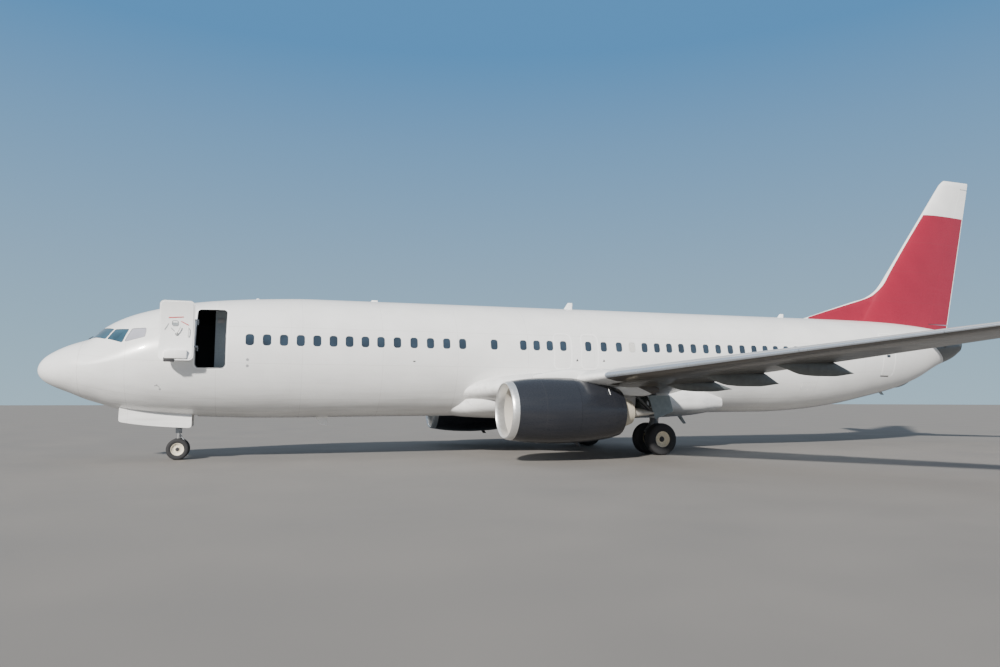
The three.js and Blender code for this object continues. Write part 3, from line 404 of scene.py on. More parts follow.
def smooth_columns(table):
    """One smooth rule for each column of a table but the first."""
    keys = [row[0] for row in table]
    return [smooth_rule(keys, [row[k] for row in table]) for k in range(1, len(table[0]))]


# The rows are joined along the square root of the station, which keeps the nose round
FUSELAGE_RULES = smooth_columns([(math.sqrt(row[0]), *row[1:]) for row in FUSELAGE])
ANGLES = full_turn(ROUND)
SKIN_STATIONS = [
    *(np.arange(0, math.sqrt(8.0), 0.035) ** 2),
    *np.arange(8.0, BARREL_END, 0.5),
    *np.arange(BARREL_END, TAIL_END, 0.25),
    *np.arange(TAIL_END, CONE_END, 0.08),
]


def place(station, y, z):
    """A point of the airframe in the frame that the solids use."""
    return (NOSE + station, y, z)


def fuselage_points(stations, angles=ANGLES, inset=0.0):
    """Points of the fuselage skin, one ring of angles for each station."""
    stations = np.asarray(stations, float)[:, None]
    angles = np.asarray(angles, float)[None, :]
    crown, keel, half, level, fullness = (rule(np.sqrt(stations)) for rule in FUSELAGE_RULES)
    cosine, sine = np.cos(angles), np.sin(angles)
    power = np.where(sine > 0, 2 / fullness, 1.0)
    reach = np.where(sine > 0, crown - level, level - keel) - inset
    y = (half - inset) * np.sign(cosine) * np.abs(cosine) ** power
    z = level + PARKED_SLOPE * stations + reach * np.sign(sine) * np.abs(sine) ** power
    return np.stack([NOSE + stations + 0 * y, y, z], axis=-1)


def skin_row(station):
    """Crown, keel, half breadth, level and fullness at a station, with the parked slope added."""
    crown, keel, half, level, fullness = (float(rule(math.sqrt(station))) for rule in FUSELAGE_RULES)
    rise = PARKED_SLOPE * station
    return crown + rise, keel + rise, half, level + rise, fullness


def skin_point(station, height, side):
    """The skin's point at a station and height on one side, and the way it faces there."""
    crown, keel, half, level, fullness = skin_row(station)
    z = height - level
    reach, power = (crown - level, fullness) if z > 0 else (level - keel, 2.0)
    share = min(1.0, abs(z) / reach)
    y = half * (1 - share**power) ** (1 / power)
    facing = Vector((0, side * y / half**2, z / reach**2)).normalized()
    return Vector(place(station, side * y, height)), facing


def row_at(table, key):
    """The columns of a table at one value of its first column, between rows by straight lines."""
    keys = [row[0] for row in table]
    return [float(np.interp(key, keys, [row[k] for row in table])) for k in range(len(table[0]))]


def smooth_run(points, fine=6):
    """A smooth curve through points."""
    p = np.array(points, float)
    if len(p) < 3:
        return [tuple(q) for q in p]
    ends = np.vstack([2 * p[0] - p[1], p, 2 * p[-1] - p[-2]])
    curve = []
    for i in range(1, len(ends) - 2):
        a, b, c, d = ends[i - 1 : i + 3]
        for t in np.arange(fine) / fine:
            bend = (2 * a - 5 * b + 4 * c - d) * t**2 + (3 * b - a - 3 * c + d) * t**3
            curve.append(tuple(0.5 * (2 * b + (c - a) * t + bend)))
    curve.append(tuple(p[-1]))
    return curve


# Meshes


def mesh_of(name, points, faces):
    mesh = bpy.data.meshes.new(name)
    mesh.from_pydata([tuple(p) for p in points], [], faces)
    mesh.validate()
    return mesh


def outward(mesh):
    """Turns the faces of a closed mesh outwards."""
    work = bmesh.new()
    work.from_mesh(mesh)
    bmesh.ops.remove_doubles(work, verts=work.verts, dist=1e-6)
    bmesh.ops.recalc_face_normals(work, faces=work.faces)
    work.to_mesh(mesh)
    work.free()
    return mesh


def loft(name, rings, closed=False):
    """A closed skin over rings of equally many points, with flat ends or joined end to end."""
    rings = np.asarray(rings, float)
    rows, around = rings.shape[:2]
    near = np.arange(around)
    far = np.roll(near, -1)
    faces = []
    for r in range(rows if closed else rows - 1):
        a, b = r * around, (r + 1) % rows * around
        faces += np.stack([a + near, a + far, b + far, b + near], axis=1).tolist()
    if not closed:
        faces += [near[::-1].tolist(), ((rows - 1) * around + near).tolist()]
    return outward(mesh_of(name, rings.reshape(-1, 3), faces))


def join(name, meshes):
    """Several meshes as one, which keeps the order of their finishes."""
    work = bmesh.new()
    for mesh in meshes:
        work.from_mesh(mesh)
    joined = bpy.data.meshes.new(name)
    work.to_mesh(joined)
    work.free()
    return joined


def moved(mesh, shift=(0, 0, 0), scale=(1, 1, 1)):
    """A moved or mirrored copy of a mesh, still facing outwards."""
    copy = mesh.copy()
    copy.transform(Matrix.Translation(shift) @ Matrix.Diagonal((*scale, 1)))
    if scale[0] * scale[1] * scale[2] < 0:
        copy.flip_normals()
    return copy


def marked(mesh, index):
    """The same mesh with all its faces on one of its finishes."""
    mesh.polygons.foreach_set("material_index", np.full(len(mesh.polygons), index, np.int32))
    return mesh


def gathering():
    """A list for meshes, and a function that adds one with its finish."""
    parts = []
    return parts, lambda index, mesh: parts.append(marked(mesh, index))


def mark_where(mesh, index, rule):
    """Puts the faces whose middle and facing pass a rule on one of the finishes."""
    for polygon in mesh.polygons:
        if rule(polygon.center, polygon.normal):
            polygon.material_index = index
    return mesh


def scratch(mesh):
    obj = bpy.data.objects.new("scratch", mesh)
    bpy.context.scene.collection.objects.link(obj)
    return obj


def evaluated(obj, name):
    """The mesh of an object with its modifiers, as a mesh of its own."""
    graph = bpy.context.evaluated_depsgraph_get()
    mesh = bpy.data.meshes.new_from_object(obj.evaluated_get(graph))
    mesh.name = name
    return mesh


def carve(mesh, tool, how="DIFFERENCE"):
    """One closed mesh cut, joined or kept by another."""
    body, cutter = scratch(mesh), scratch(tool)
    modifier = body.modifiers.new("carve", "BOOLEAN")
    modifier.operation = how
    modifier.solver = "MANIFOLD"
    modifier.object = cutter
    result = evaluated(body, mesh.name)
    bpy.data.objects.remove(body)
    bpy.data.objects.remove(cutter)
    if len(result.polygons) == 0:
        raise RuntimeError(f"nothing is left of {mesh.name}")
    return result


def borrow_normals(mesh, source, reach=0.004, agree=0.9):
    """Shades the faces that still lie on a clean surface by that surface's own normals."""
    work = bmesh.new()
    work.from_mesh(source)
    bmesh.ops.triangulate(work, faces=work.faces)
    work.normal_update()
    tree = BVHTree.FromBMesh(work)
    places = np.array([v.co for v in work.verts])
    normals = np.array([v.normal for v in work.verts])
    corners = np.array([[v.index for v in f.verts] for f in work.faces])
    work.free()
    hits = [tree.find_nearest(vertex.co) for vertex in mesh.vertices]
    spots = np.array([hit[0] for hit in hits])
    triangle = corners[[hit[2] for hit in hits]]
    near = np.array([hit[3] for hit in hits]) < reach
    a, b, c = (places[triangle[:, k]] for k in range(3))
    v0, v1, v2 = b - a, c - a, spots - a
    d00, d01, d11 = (v0 * v0).sum(1), (v0 * v1).sum(1), (v1 * v1).sum(1)
    d20, d21 = (v2 * v0).sum(1), (v2 * v1).sum(1)
    area = np.maximum(d00 * d11 - d01 * d01, 1e-18)
    v = ((d11 * d20 - d01 * d21) / area)[:, None]
    w = ((d00 * d21 - d01 * d20) / area)[:, None]
    first, second, third = (normals[triangle[:, k]] for k in range(3))
    wanted = (1 - v - w) * first + v * second + w * third
    wanted /= np.maximum(np.linalg.norm(wanted, axis=1), 1e-9)[:, None]
    ends = np.empty(len(mesh.loops), np.int32)
    mesh.loops.foreach_get("vertex_index", ends)
    shaded = np.empty((len(mesh.loops), 3))
    for polygon in mesh.polygons:
        loops = slice(polygon.loop_start, polygon.loop_start + polygon.loop_total)
        own = np.array(polygon.normal)
        lent = wanted[ends[loops]]
        lies_on = near[ends[loops]] & (lent @ own > agree)
        shaded[loops] = np.where(lies_on[:, None], lent, own)
    mesh.polygons.foreach_set("use_smooth", np.ones(len(mesh.polygons), bool))
    mesh.normals_split_custom_set(shaded.tolist())
    return mesh


def rounded_polygon(points, radius, grow=0.0, steps=5):
    """A convex outline, moved outwards and given round corners."""
    p = np.array(points, float)
    if sum(a[0] * b[1] - b[0] * a[1] for a, b in zip(p, np.roll(p, -1, axis=0))) < 0:
        p = p[::-1]
    count = len(p)
    along = [(p[(i + 1) % count] - p[i]) / np.linalg.norm(p[(i + 1) % count] - p[i]) for i in range(count)]
    out = [np.array([d[1], -d[0]]) for d in along]
    result = []
    for i in range(count):
        before, after = out[i - 1], out[i]
        centre = p[i] + (before + after) * (grow - radius) / (1 + before @ after)
        start = math.atan2(before[1], before[0])
        turn = (math.atan2(after[1], after[0]) - start) % (2 * math.pi)
        for k in range(steps + 1):
            angle = start + turn * k / steps
            result.append((centre[0] + radius * math.cos(angle), centre[1] + radius * math.sin(angle)))
    return result


def rectangle(x0, x1, z0, z1):
    return [(x0, z0), (x1, z0), (x1, z1), (x0, z1)]


def out_through(side):
    """Two spans of one side, inside and outside the skin."""
    return side * 0.2, side * WIDE


def side_prism(name, outline, y0, y1):
    """A prism over an outline of station and height, from one span to another."""
    return loft(name, [[place(x, y, z) for x, z in outline] for y in (y0, y1)])


def plan_prism(name, outline, z0=0.0, z1=HIGH):
    """A prism over an outline of station and span, from one height to another."""
    return loft(name, [[place(x, y, z) for x, y in outline] for z in (z0, z1)])


def side_frame(name, outer, inner, y0, y1):
    """A prism with a hole, over two outlines of station and height with equally many points."""
    walls = ((outer, y0), (outer, y1), (inner, y1), (inner, y0))
    return loft(name, [[place(x, y, z) for x, z in outline] for outline, y in walls], closed=True)


def plan_frame(name, outer, inner, z0, z1):
    """A prism with a hole, over two outlines of station and span with equally many points."""
    walls = ((outer, z0), (outer, z1), (inner, z1), (inner, z0))
    return loft(name, [[place(x, y, z) for x, y in outline] for outline, z in walls], closed=True)


def box_mesh(name, x0, x1, y0, y1, z0, z1, bevel=0.0):
    """A box, with its edges rounded off where it shows."""
    mesh = side_prism(name, rectangle(x0, x1, z0, z1), y0, y1)
    if bevel:
        work = bmesh.new()
        work.from_mesh(mesh)
        bmesh.ops.bevel(work, geom=work.edges[:], offset=bevel, segments=2, affect="EDGES", profile=0.5)
        work.to_mesh(mesh)
        work.free()
    return mesh


def around_line(start, end, rows, sides):
    """Rings about the line between two points, from rows of distance along it and radius."""
    turn = Vector((0, 0, 1)).rotation_difference(end - start).to_matrix()
    angles = full_turn(sides)
    return [
        [start + turn @ Vector((r * math.cos(a), r * math.sin(a), along)) for a in angles]
        for along, r in rows
    ]


def cut(mesh, *tools):
    """A closed mesh cut by others, one after another."""
    for tool in tools:
        mesh = carve(mesh, tool)
    return mesh


def rod(name, start, end, radius, end_radius=None, sides=24, edge=0.004):
    """A round bar between two points of the frame, with its end edges broken."""
    start, end = Vector(start), Vector(end)
    end_radius = radius if end_radius is None else end_radius
    length = (end - start).length
    edge = min(edge, radius / 3, end_radius / 3, length / 3)
    rows = [(0, radius - edge), (edge, radius), (length - edge, end_radius), (length, end_radius - edge)]
    return loft(name, around_line(start, end, rows, sides))


def stepped(name, start, end, rows, sides=32):
    """A turned post between two points, from rows of share of its length and radius."""
    start, end = Vector(start), Vector(end)
    length = (end - start).length
    return loft(name, around_line(start, end, [(share * length, r) for share, r in rows], sides))


def bar(name, start, end, *sizes, **settings):
    """A round bar between two places, each a station, a span and a height."""
    return rod(name, place(*start), place(*end), *sizes, **settings)


def column(name, start, end, rows, sides=32):
    """A turned post between two such places."""
    return stepped(name, place(*start), place(*end), rows, sides)


def hose(name, points, radius, sides=10, fine=8):
    """A round line through points of the frame."""
    path = [Vector(p) for p in smooth_run(points, fine)]
    angles = full_turn(sides)
    rings, side = [], None
    for i, p in enumerate(path):
        way = (path[min(i + 1, len(path) - 1)] - path[max(i - 1, 0)]).normalized()
        side = way.orthogonal() if side is None else side - way * side.dot(way)
        side.normalize()
        up = way.cross(side)
        rings.append([p + (side * math.cos(a) + up * math.sin(a)) * radius for a in angles])
    return loft(name, rings)


def turned(name, rows, centre, axis="X", sides=96):
    """A solid turned about an axis through a point, from rows of offset along it and radius.

    Rows that start off the axis close on themselves, and the others end on the axis too."""
    centre = Vector(centre)
    angles = full_turn(sides)

    def spot(offset, radius, a):
        across = (radius * math.cos(a), radius * math.sin(a))
        return centre + Vector((offset, *across) if axis == "X" else (across[0], offset, across[1]))

    if rows[0][1] > 1e-9:
        return loft(name, [[spot(o, r, a) for a in angles] for o, r in rows], closed=True)
    rings = [[spot(o, r, a) for a in angles] for o, r in rows[1:-1]]
    points = [p for ring in rings for p in ring]
    near = np.arange(sides)
    far = np.roll(near, -1)
    faces = []
    for r in range(len(rings) - 1):
        a, b = r * sides, (r + 1) * sides
        faces += np.stack([a + near, a + far, b + far, b + near], axis=1).tolist()
    for row, base in ((rows[0], 0), (rows[-1], (len(rings) - 1) * sides)):
        points.append(spot(row[0], 0, 0))
        faces += [(base + i, base + (i + 1) % sides, len(points) - 1) for i in range(sides)]
    return outward(mesh_of(name, points, faces))


def fuselage_solid(name, start, end, inset=0.0):
    between = [s for s in SKIN_STATIONS if start + 0.01 < s < end - 0.01]
    return loft(name, fuselage_points([start, *between, end], ANGLES, inset))


def inlay(name, prism, top, bottom, start, end, hole=None):
    """The part of a prism between two depths below the skin, with a hole through it."""
    piece = carve(prism, fuselage_solid(name, start, end, top), "INTERSECT")
    piece = carve(piece, fuselage_solid(name, start - 0.05, end + 0.05, bottom))
    return carve(piece, hole) if hole is not None else piece


def thin_blade(name, rows, span=0.0):
    """A thin blade with a lens section, from rows of front, back, height and half thickness."""
    rings = []
    for front, back, height, half in rows:
        middle, reach = (front + back) / 2, (back - front) / 2
        ring = []
        for a in full_turn(24):
            # slimmer towards the front and back edges than an ellipse
            y = half * math.sin(a) * abs(math.sin(a)) ** 0.4
            ring.append(place(middle - reach * math.cos(a), span + y, height))
        rings.append(ring)
    return loft(name, rings)


def half_thickness(share, ratio):
    bulk = 0.2969 * math.sqrt(share) - 0.126 * share - 0.3516 * share**2 + 0.2843 * share**3
    return 5 * ratio * (bulk - 0.1015 * share**4)


def mean_line(share, camber):
    return 4 * camber * share * (1 - share)


CHORD_SHARES = [(1 - math.cos(math.pi * i / 34)) / 2 for i in range(35)]


def mean_point(side, row, camber, share):
    """A point of a section's mean line."""
    span, edge, chord, height, _, twist = row
    turn = math.radians(twist)
    run, rise = chord * share, mean_line(share, camber) * chord
    along = edge + run * math.cos(turn) + rise * math.sin(turn)
    return Vector(place(along, side * span, height - run * math.sin(turn) + rise * math.cos(turn)))


def airfoil(side, row, camber, grow=0.0):
    """One closed airfoil section of the frame."""
    span, edge, chord, height, ratio, twist = row
    turn = math.radians(twist)

    def point(share, way):
        thick = chord * max(half_thickness(share, ratio), EDGE_THICK)
        away = 0.0 if share == 0 else max(thick + grow, 0.001)
        along = chord * share + grow * (2 * share - 1)
        up = chord * mean_line(share, camber) + way * away
        x = edge + along * math.cos(turn) + up * math.sin(turn)
        return place(x, side * span, height - along * math.sin(turn) + up * math.cos(turn))

    return [point(s, 1) for s in reversed(CHORD_SHARES)] + [point(s, -1) for s in CHORD_SHARES[1:]]


def wing_rows(table, pitch=0.45):
    """The rows of a wing with finer ones between, and a round tip."""
    *inner, before, tip = table
    spans = []
    for a, b in zip(inner, [*inner[1:], before]):
        count = max(1, round((b[0] - a[0]) / pitch))
        spans += list(np.linspace(a[0], b[0], count, endpoint=False))
    rows = [row_at(table, span) for span in spans]
    for degrees in (0, 25, 50, 70, 85):
        bend = math.radians(degrees)
        row = row_at(table, before[0] + (tip[0] - before[0]) * math.sin(bend))
        row[4] = max(0.012, before[4] * math.cos(bend))
        rows.append(row)
    return [*rows, [*tip[:4], 0.006, tip[5]]]


def wing_solid(name, table, camber, side, grow=0.0):
    return loft(name, [airfoil(side, row, camber, grow) for row in wing_rows(table)])


def plan_panel(table, side, inner, outer, from_share, to_share, margin=0.0, beyond=0.04):
    """The plan of a panel between two spans and two shares of the chord, widened by a margin."""

    def corner(span, share, way):
        _, edge, chord = row_at(table, span)[:3]
        return (edge + chord * share + way, side * span)

    kinks = [row[0] for row in table if inner < row[0] < outer]
    spans = [inner - margin, *kinks, outer + margin]
    behind = beyond if to_share >= 1 else margin
    front = [corner(s, from_share, -margin) for s in spans]
    return front + [corner(s, to_share, behind) for s in reversed(spans)]


def hinge_line(table, camber, side, panel):
    """The two ends of a control surface's hinge line and the radius of its nose at each."""
    rows = [row_at(table, span) for span in panel[:2]]
    ends = [mean_point(side, row, camber, panel[2]) for row in rows]
    return ends, [half_thickness(panel[2], row[4]) * row[2] for row in rows]


def span_block(side, inner, outer):
    """Everything between two spans of one side."""
    return box_mesh("block", 0, FAR, *sorted((side * inner, side * outer)), 0, HIGH)


def hinged(whole, ends, noses, behind, zone, inner_zone, gap):
    """The fixed and the moving part of a wing or fin that turns on a hinge line, and its pins."""
    start, end = ends
    way = (end - start).normalized()
    taper = (noses[1] - noses[0]) / (end - start).length

    def nose(grow):
        return rod(
            "nose",
            start - way * PIN_ROOT,
            end + way * PIN_ROOT,
            noses[0] - taper * PIN_ROOT + grow,
            noses[1] + taper * PIN_ROOT + grow,
            sides=64,
            edge=0.0,
        )

    fixed = carve(whole, carve(carve(behind, nose(gap), "UNION"), zone, "INTERSECT"))
    moving = carve(whole, carve(carve(behind, nose(0), "UNION"), inner_zone, "INTERSECT"), "INTERSECT")
    pins = []
    for at, inwards in ((start, way), (end, -way)):
        bore_end = at + inwards * (PIN_REACH + 0.015)
        moving = carve(moving, rod("bore", at - inwards * PIN_ROOT, bore_end, PIN_BORE, edge=0.0))
        pins.append(rod("pin", at - inwards * PIN_ROOT / 2, at + inwards * PIN_REACH, PIN_RADIUS))
    return fixed, moving, pins


def hinged_panel(whole, table, camber, side, panel, gap):
    """The aileron or elevator of one side."""
    ends, noses = hinge_line(table, camber, side, panel)
    near, far = ((p.x - NOSE, p.y) for p in ends)
    behind = plan_prism("behind", [near, far, (FAR, far[1]), (FAR, near[1])])
    inner, outer, _, trim = panel
    zones = (span_block(side, inner, outer), span_block(side, inner + trim, outer - trim))
    return hinged(whole, ends, noses, behind, *zones, gap)


# Materials


def node(tree, kind, links=(), **settings):
    """A shader or geometry node with its settings, and its inputs linked or set."""
    made = tree.nodes.new(kind)
    for key, value in settings.items():
        setattr(made, key, value)
    for key, value in dict(links).items():
        if isinstance(value, bpy.types.NodeSocket):
            tree.links.new(value, made.inputs[key])
        else:
            made.inputs[key].default_value = value
    return made


def mix_colour(tree, factor, a, b):
    return node(tree, "ShaderNodeMix", {0: factor, 6: a, 7: b}, data_type="RGBA").outputs[2]


def calc(tree, operation, a, b=0.0, c=0.0, clamp=False):
    made = node(tree, "ShaderNodeMath", {0: a, 1: b, 2: c}, operation=operation, use_clamp=clamp)
    return made.outputs[0]


def maths(operation):
    return lambda tree, *values, **settings: calc(tree, operation, *values, **settings)


times, less, most, times_plus = map(maths, ("MULTIPLY", "SUBTRACT", "MAXIMUM", "MULTIPLY_ADD"))


def spread(tree, value, low, high, to_low=0.0, to_high=1.0):
    links = {"Value": value, "From Min": low, "From Max": high, "To Min": to_low, "To Max": to_high}
    return node(tree, "ShaderNodeMapRange", links).outputs[0]


def scaled(tree, vector, factor):
    return node(tree, "ShaderNodeVectorMath", {0: vector, "Scale": factor}, operation="SCALE").outputs[0]


def opaque(colour):
    return (*colour[:3], 1.0)


GROUPS, MATERIALS = {}, {}


def node_group(name, kind, inputs, outputs):
    """A node group with named sockets, and its two end nodes."""
    tree = bpy.data.node_groups.new(name, kind)
    for label, socket_type, default in inputs:
        socket = tree.interface.new_socket(label, in_out="INPUT", socket_type=socket_type)
        if default is not None:
            socket.default_value = default
    for label, socket_type in outputs:
        tree.interface.new_socket(label, in_out="OUTPUT", socket_type=socket_type)
    GROUPS[name] = tree
    return tree, tree.nodes.new("NodeGroupInput").outputs, tree.nodes.new("NodeGroupOutput").inputs


def build_paint_group():
    """Paint with soft mottling, streaks along the airflow and dirt that gathers low down."""
    number = "NodeSocketFloat"
    tree, given, out = node_group(
        "weathered_paint",
        "ShaderNodeTree",
        [
            ("Paint", "NodeSocketColor", (0.8, 0.8, 0.8, 1)),
            ("Dirt", "NodeSocketColor", (0.16, 0.14, 0.12, 1)),
            ("Amount", number, 0.3),
            ("Low", number, 1.2),
            ("High", number, 3.0),
            ("Joint", number, 0.0),
        ],
        [("Colour", "NodeSocketColor"), ("Roughness", number), ("Height", number)],
    )
    where = node(tree, "ShaderNodeTexCoord").outputs["Object"]
    stretched = node(tree, "ShaderNodeMapping", {"Vector": where, "Scale": (0.22, 2.4, 2.4)}).outputs[0]
    noise = "ShaderNodeTexNoise"
    coarse = {"Vector": stretched, "Scale": 3.0, "Detail": 6.0, "Roughness": 0.6}
    streaks = node(tree, noise, coarse).outputs[0]
    mottling = node(tree, noise, {"Vector": where, "Scale": 1.1, "Detail": 4.0}).outputs[0]
    fine = node(tree, noise, {"Vector": where, "Scale": 70.0, "Detail": 3.0}).outputs[0]
    height = node(tree, "ShaderNodeSeparateXYZ", {0: where}).outputs["Z"]
    low = spread(tree, height, given["Low"], given["High"], 1.0, 0.1)
    dirt = times(tree, spread(tree, streaks, 0.42, 0.78), low)
    dirt = times(tree, dirt, given["Amount"], clamp=True)
    base = scaled(tree, given["Paint"], spread(tree, mottling, 0.3, 0.7, 0.95, 1.03))
    dirty = mix_colour(tree, dirt, base, given["Dirt"])
    joint = times(tree, given["Joint"], 0.5)
    tree.links.new(mix_colour(tree, joint, dirty, given["Dirt"]), out["Colour"])
    rough = times_plus(tree, dirt, 0.4, spread(tree, fine, 0.3, 0.7, 0.24, 0.33))
    tree.links.new(times_plus(tree, joint, 0.4, rough), out["Roughness"])
    tree.links.new(times_plus(tree, fine, 0.06, times(tree, joint, -2.0)), out["Height"])


def build_joint_group():
    """Thin lines at an even pitch along one coordinate."""
    number = "NodeSocketFloat"
    tree, given, out = node_group(
        "joint_lines",
        "ShaderNodeTree",
        [("Along", number, 0.0), ("Offset", number, 0.0), ("Pitch", number, 1.0), ("Width", number, 0.006)],
        [("Line", number)],
    )
    shifted = less(tree, given["Along"], given["Offset"])
    away = calc(tree, "PINGPONG", shifted, times(tree, given["Pitch"], 0.5))
    wide = times(tree, given["Width"], 1.6)
    tree.links.new(spread(tree, away, given["Width"], wide, 1.0, 0.0), out["Line"])


def build_set_out_tree():
    """Copies of a piece, each shifted and turned by one more step than the last."""
    vector = "NodeSocketVector"
    tree, given, out = node_group(
        "set_out",
        "GeometryNodeTree",
        [
            ("Piece", "NodeSocketGeometry", None),
            ("Count", "NodeSocketInt", 8),
            ("Start", vector, (0, 0, 0)),
            ("Stride", vector, (0, 0, 0)),
            ("Turn", vector, (0, 0, 0)),
            ("Material", "NodeSocketMaterial", None),
        ],
        [("Pieces", "NodeSocketGeometry")],
    )
    index = node(tree, "GeometryNodeInputIndex").outputs[0]
    run = scaled(tree, given["Stride"], index)
    spot = node(tree, "ShaderNodeVectorMath", {0: given["Start"], 1: run}, operation="ADD").outputs[0]
    points = node(tree, "GeometryNodePoints", {"Count": given["Count"], "Position": spot}).outputs[0]
    turn = node(tree, "FunctionNodeEulerToRotation", {0: scaled(tree, given["Turn"], index)}).outputs[0]
    links = {"Points": points, "Instance": given["Piece"], "Rotation": turn}
    copies = node(tree, "GeometryNodeInstanceOnPoints", links).outputs[0]
    real = node(tree, "GeometryNodeRealizeInstances", {0: copies}).outputs[0]
    finished = node(tree, "GeometryNodeSetMaterial", {"Geometry": real, "Material": given["Material"]})
    tree.links.new(finished.outputs[0], out["Pieces"])


def set_out(name, piece, count, material, start=(0, 0, 0), stride=(0, 0, 0), turn=(0, 0, 0)):
    """Copies of a mesh along a line or around a point, as one mesh."""
    obj = scratch(piece)
    modifier = obj.modifiers.new("set out", "NODES")
    modifier.node_group = GROUPS["set_out"]
    values = {"Count": count, "Start": start, "Stride": stride, "Turn": turn}
    values["Material"] = MATERIALS[material]
    for item in modifier.node_group.interface.items_tree:
        if item.in_out == "INPUT" and item.name in values:
            modifier[item.identifier] = values[item.name]
    mesh = evaluated(obj, name)
    bpy.data.objects.remove(obj)
    return mesh


def new_material(name):
    material = bpy.data.materials.new(name)
    material.use_nodes = True
    tree = material.node_tree
    MATERIALS[name] = material
    return material, tree, tree.nodes["Principled BSDF"]


def joint_line(tree, along, offset, pitch, width):
    links = {"Along": along, "Offset": offset, "Pitch": pitch, "Width": width}
    return node(tree, "ShaderNodeGroup", links, node_tree=GROUPS["joint_lines"]).outputs[0]


def paint_over(tree, shader, colour, amount=0.3, low=1.2, high=3.0, joint=0.0, coat=0.25):
    """Feeds a Principled shader with weathered paint, over a colour or a socket."""
    paint = colour if isinstance(colour, bpy.types.NodeSocket) else opaque(colour)
    links = {"Paint": paint, "Amount": amount, "Low": low, "High": high, "Joint": joint}
    used = node(tree, "ShaderNodeGroup", links, node_tree=GROUPS["weathered_paint"]).outputs
    tree.links.new(used["Colour"], shader.inputs["Base Color"])
    tree.links.new(used["Roughness"], shader.inputs["Roughness"])
    relief = node(tree, "ShaderNodeBump", {"Height": used["Height"], "Strength": 0.25, "Distance": 0.002})
    tree.links.new(relief.outputs[0], shader.inputs["Normal"])
    shader.inputs["Coat Weight"].default_value = coat
    shader.inputs["Coat Roughness"].default_value = 0.08


def coordinates(tree):
    where = node(tree, "ShaderNodeTexCoord").outputs["Object"]
    return node(tree, "ShaderNodeSeparateXYZ", {0: where}).outputs


def fuselage_finish(colour, cone):
    """White paint with skin joints, and dark metal behind the slanted joint at the tail."""
    _, tree, shader = new_material("fuselage_white")
    x, y, z = coordinates(tree)
    around = joint_line(tree, x, NOSE + NOSE_END + 0.35, 2.54, 0.004)
    level, first, pitch = LAP_JOINTS
    angle = calc(tree, "ARCTAN2", less(tree, z, level), y)
    lap = joint_line(tree, angle, first, math.radians(pitch), 0.0022)
    beyond_radome = spread(tree, x, NOSE + RADOME_END + 0.01, NOSE + RADOME_END + 0.02)
    lines = times(tree, most(tree, around, lap), beyond_radome)
    radome = joint_line(tree, x, NOSE + RADOME_END + 0.004, 80.0, 0.006)
    station, low, low_slant, high, high_slant = TAIL_JOINT
    below = most(tree, less(tree, low, z), 0.0)
    above = most(tree, less(tree, z, high), 0.0)
    front = times_plus(tree, below, low_slant, NOSE + station)
    front = times_plus(tree, above, high_slant, front)
    behind = less(tree, x, front)
    slant = joint_line(tree, behind, 0.0, 80.0, 0.006)
    rear = most(tree, times(tree, radome, 0.4), slant)
    joint = most(tree, times(tree, lines, 0.5), rear)
    metal = spread(tree, behind, 0.0, 0.004)
    paint_over(tree, shader, mix_colour(tree, metal, opaque(colour), opaque(cone)), joint=joint)
    tree.links.new(times(tree, metal, 0.5), shader.inputs["Metallic"])


def wing_finish(upper, lower, white):
    """Grey paint, with painted shade that makes the underside dark, a bare metal leading edge whose blue tint
    is a painted sky reflection, and white by the fuselage and the pylon, where the white front by the pylon
    is partly painted light on the sunlit leading edge.
    """
    _, tree, shader = new_material("wing_grey")
    plan = node(tree, "ShaderNodeAttribute", attribute_name="plan").outputs["Vector"]
    span, share, top = node(tree, "ShaderNodeSeparateXYZ", {0: plan}).outputs
    ribs = joint_line(tree, span, 2.2, 1.55, 0.004)
    front_spar = joint_line(tree, share, 0.135, 50.0, 0.0015)
    back_spar = joint_line(tree, share, 0.595, 50.0, 0.0015)
    lines = most(tree, ribs, most(tree, front_spar, back_spar))
    # Painted shade: the underside gets the dark colour
    grey = mix_colour(tree, spread(tree, top, -0.02, 0.02), opaque(lower), opaque(upper))
    x = coordinates(tree)["X"]
    on_wing = spread(tree, x, NOSE + 26.0, NOSE + 26.1, 1.0, 0.0)
    root_end, front_end, front_share = WHITE_ROOT
    # Partly paint, partly painted light: the sunlit nose of the leading edge by the pylon is made white
    front = spread(tree, share, front_share, front_share + 0.002, 1.0, 0.0)
    front = times(tree, front, spread(tree, span, front_end, front_end + 0.004, 1.0, 0.0))
    root = most(tree, spread(tree, span, root_end, root_end + 0.004, 1.0, 0.0), front)
    root = times(tree, root, on_wing)
    station, half, narrowing = WHITE_WEDGE
    away = calc(tree, "ABSOLUTE", less(tree, span, ENGINE_SPAN))
    reach = times_plus(tree, x, -narrowing, half + narrowing * (NOSE + station))
    wedge = spread(tree, less(tree, reach, away), 0.0, 0.004)
    wedge = times(tree, wedge, spread(tree, top, -0.02, 0.02, 1.0, 0.0))
    grey = mix_colour(tree, most(tree, root, wedge), grey, opaque(white))
    beyond = spread(tree, span, front_end, front_end + 0.004)
    beyond = most(tree, beyond, less(tree, 1.0, on_wing))
    edge = times(tree, spread(tree, share, *METAL_EDGE, 1.0, 0.0), beyond)
    # Bare metal, with a blue tint that is a painted reflection of the sky
    both = mix_colour(tree, edge, grey, (0.66, 0.72, 0.80, 1))
    joint = times(tree, lines, 0.5)
    paint_over(tree, shader, both, amount=0.45, low=1.5, high=4.5, joint=joint)
    tree.links.new(times(tree, edge, 0.85), shader.inputs["Metallic"])


def curve_of(tree, value, points):
    """A value carried over a curve through points that lie between nought and one."""
    made = node(tree, "ShaderNodeFloatCurve", {"Value": value})
    curve = made.mapping.curves[0]
    curve.points[0].location, curve.points[-1].location = points[0], points[-1]
    for point in points[1:-1]:
        curve.points.new(*point)
    for point in curve.points:
        point.handle_type = "VECTOR"
    made.mapping.update()
    return made.outputs[0]


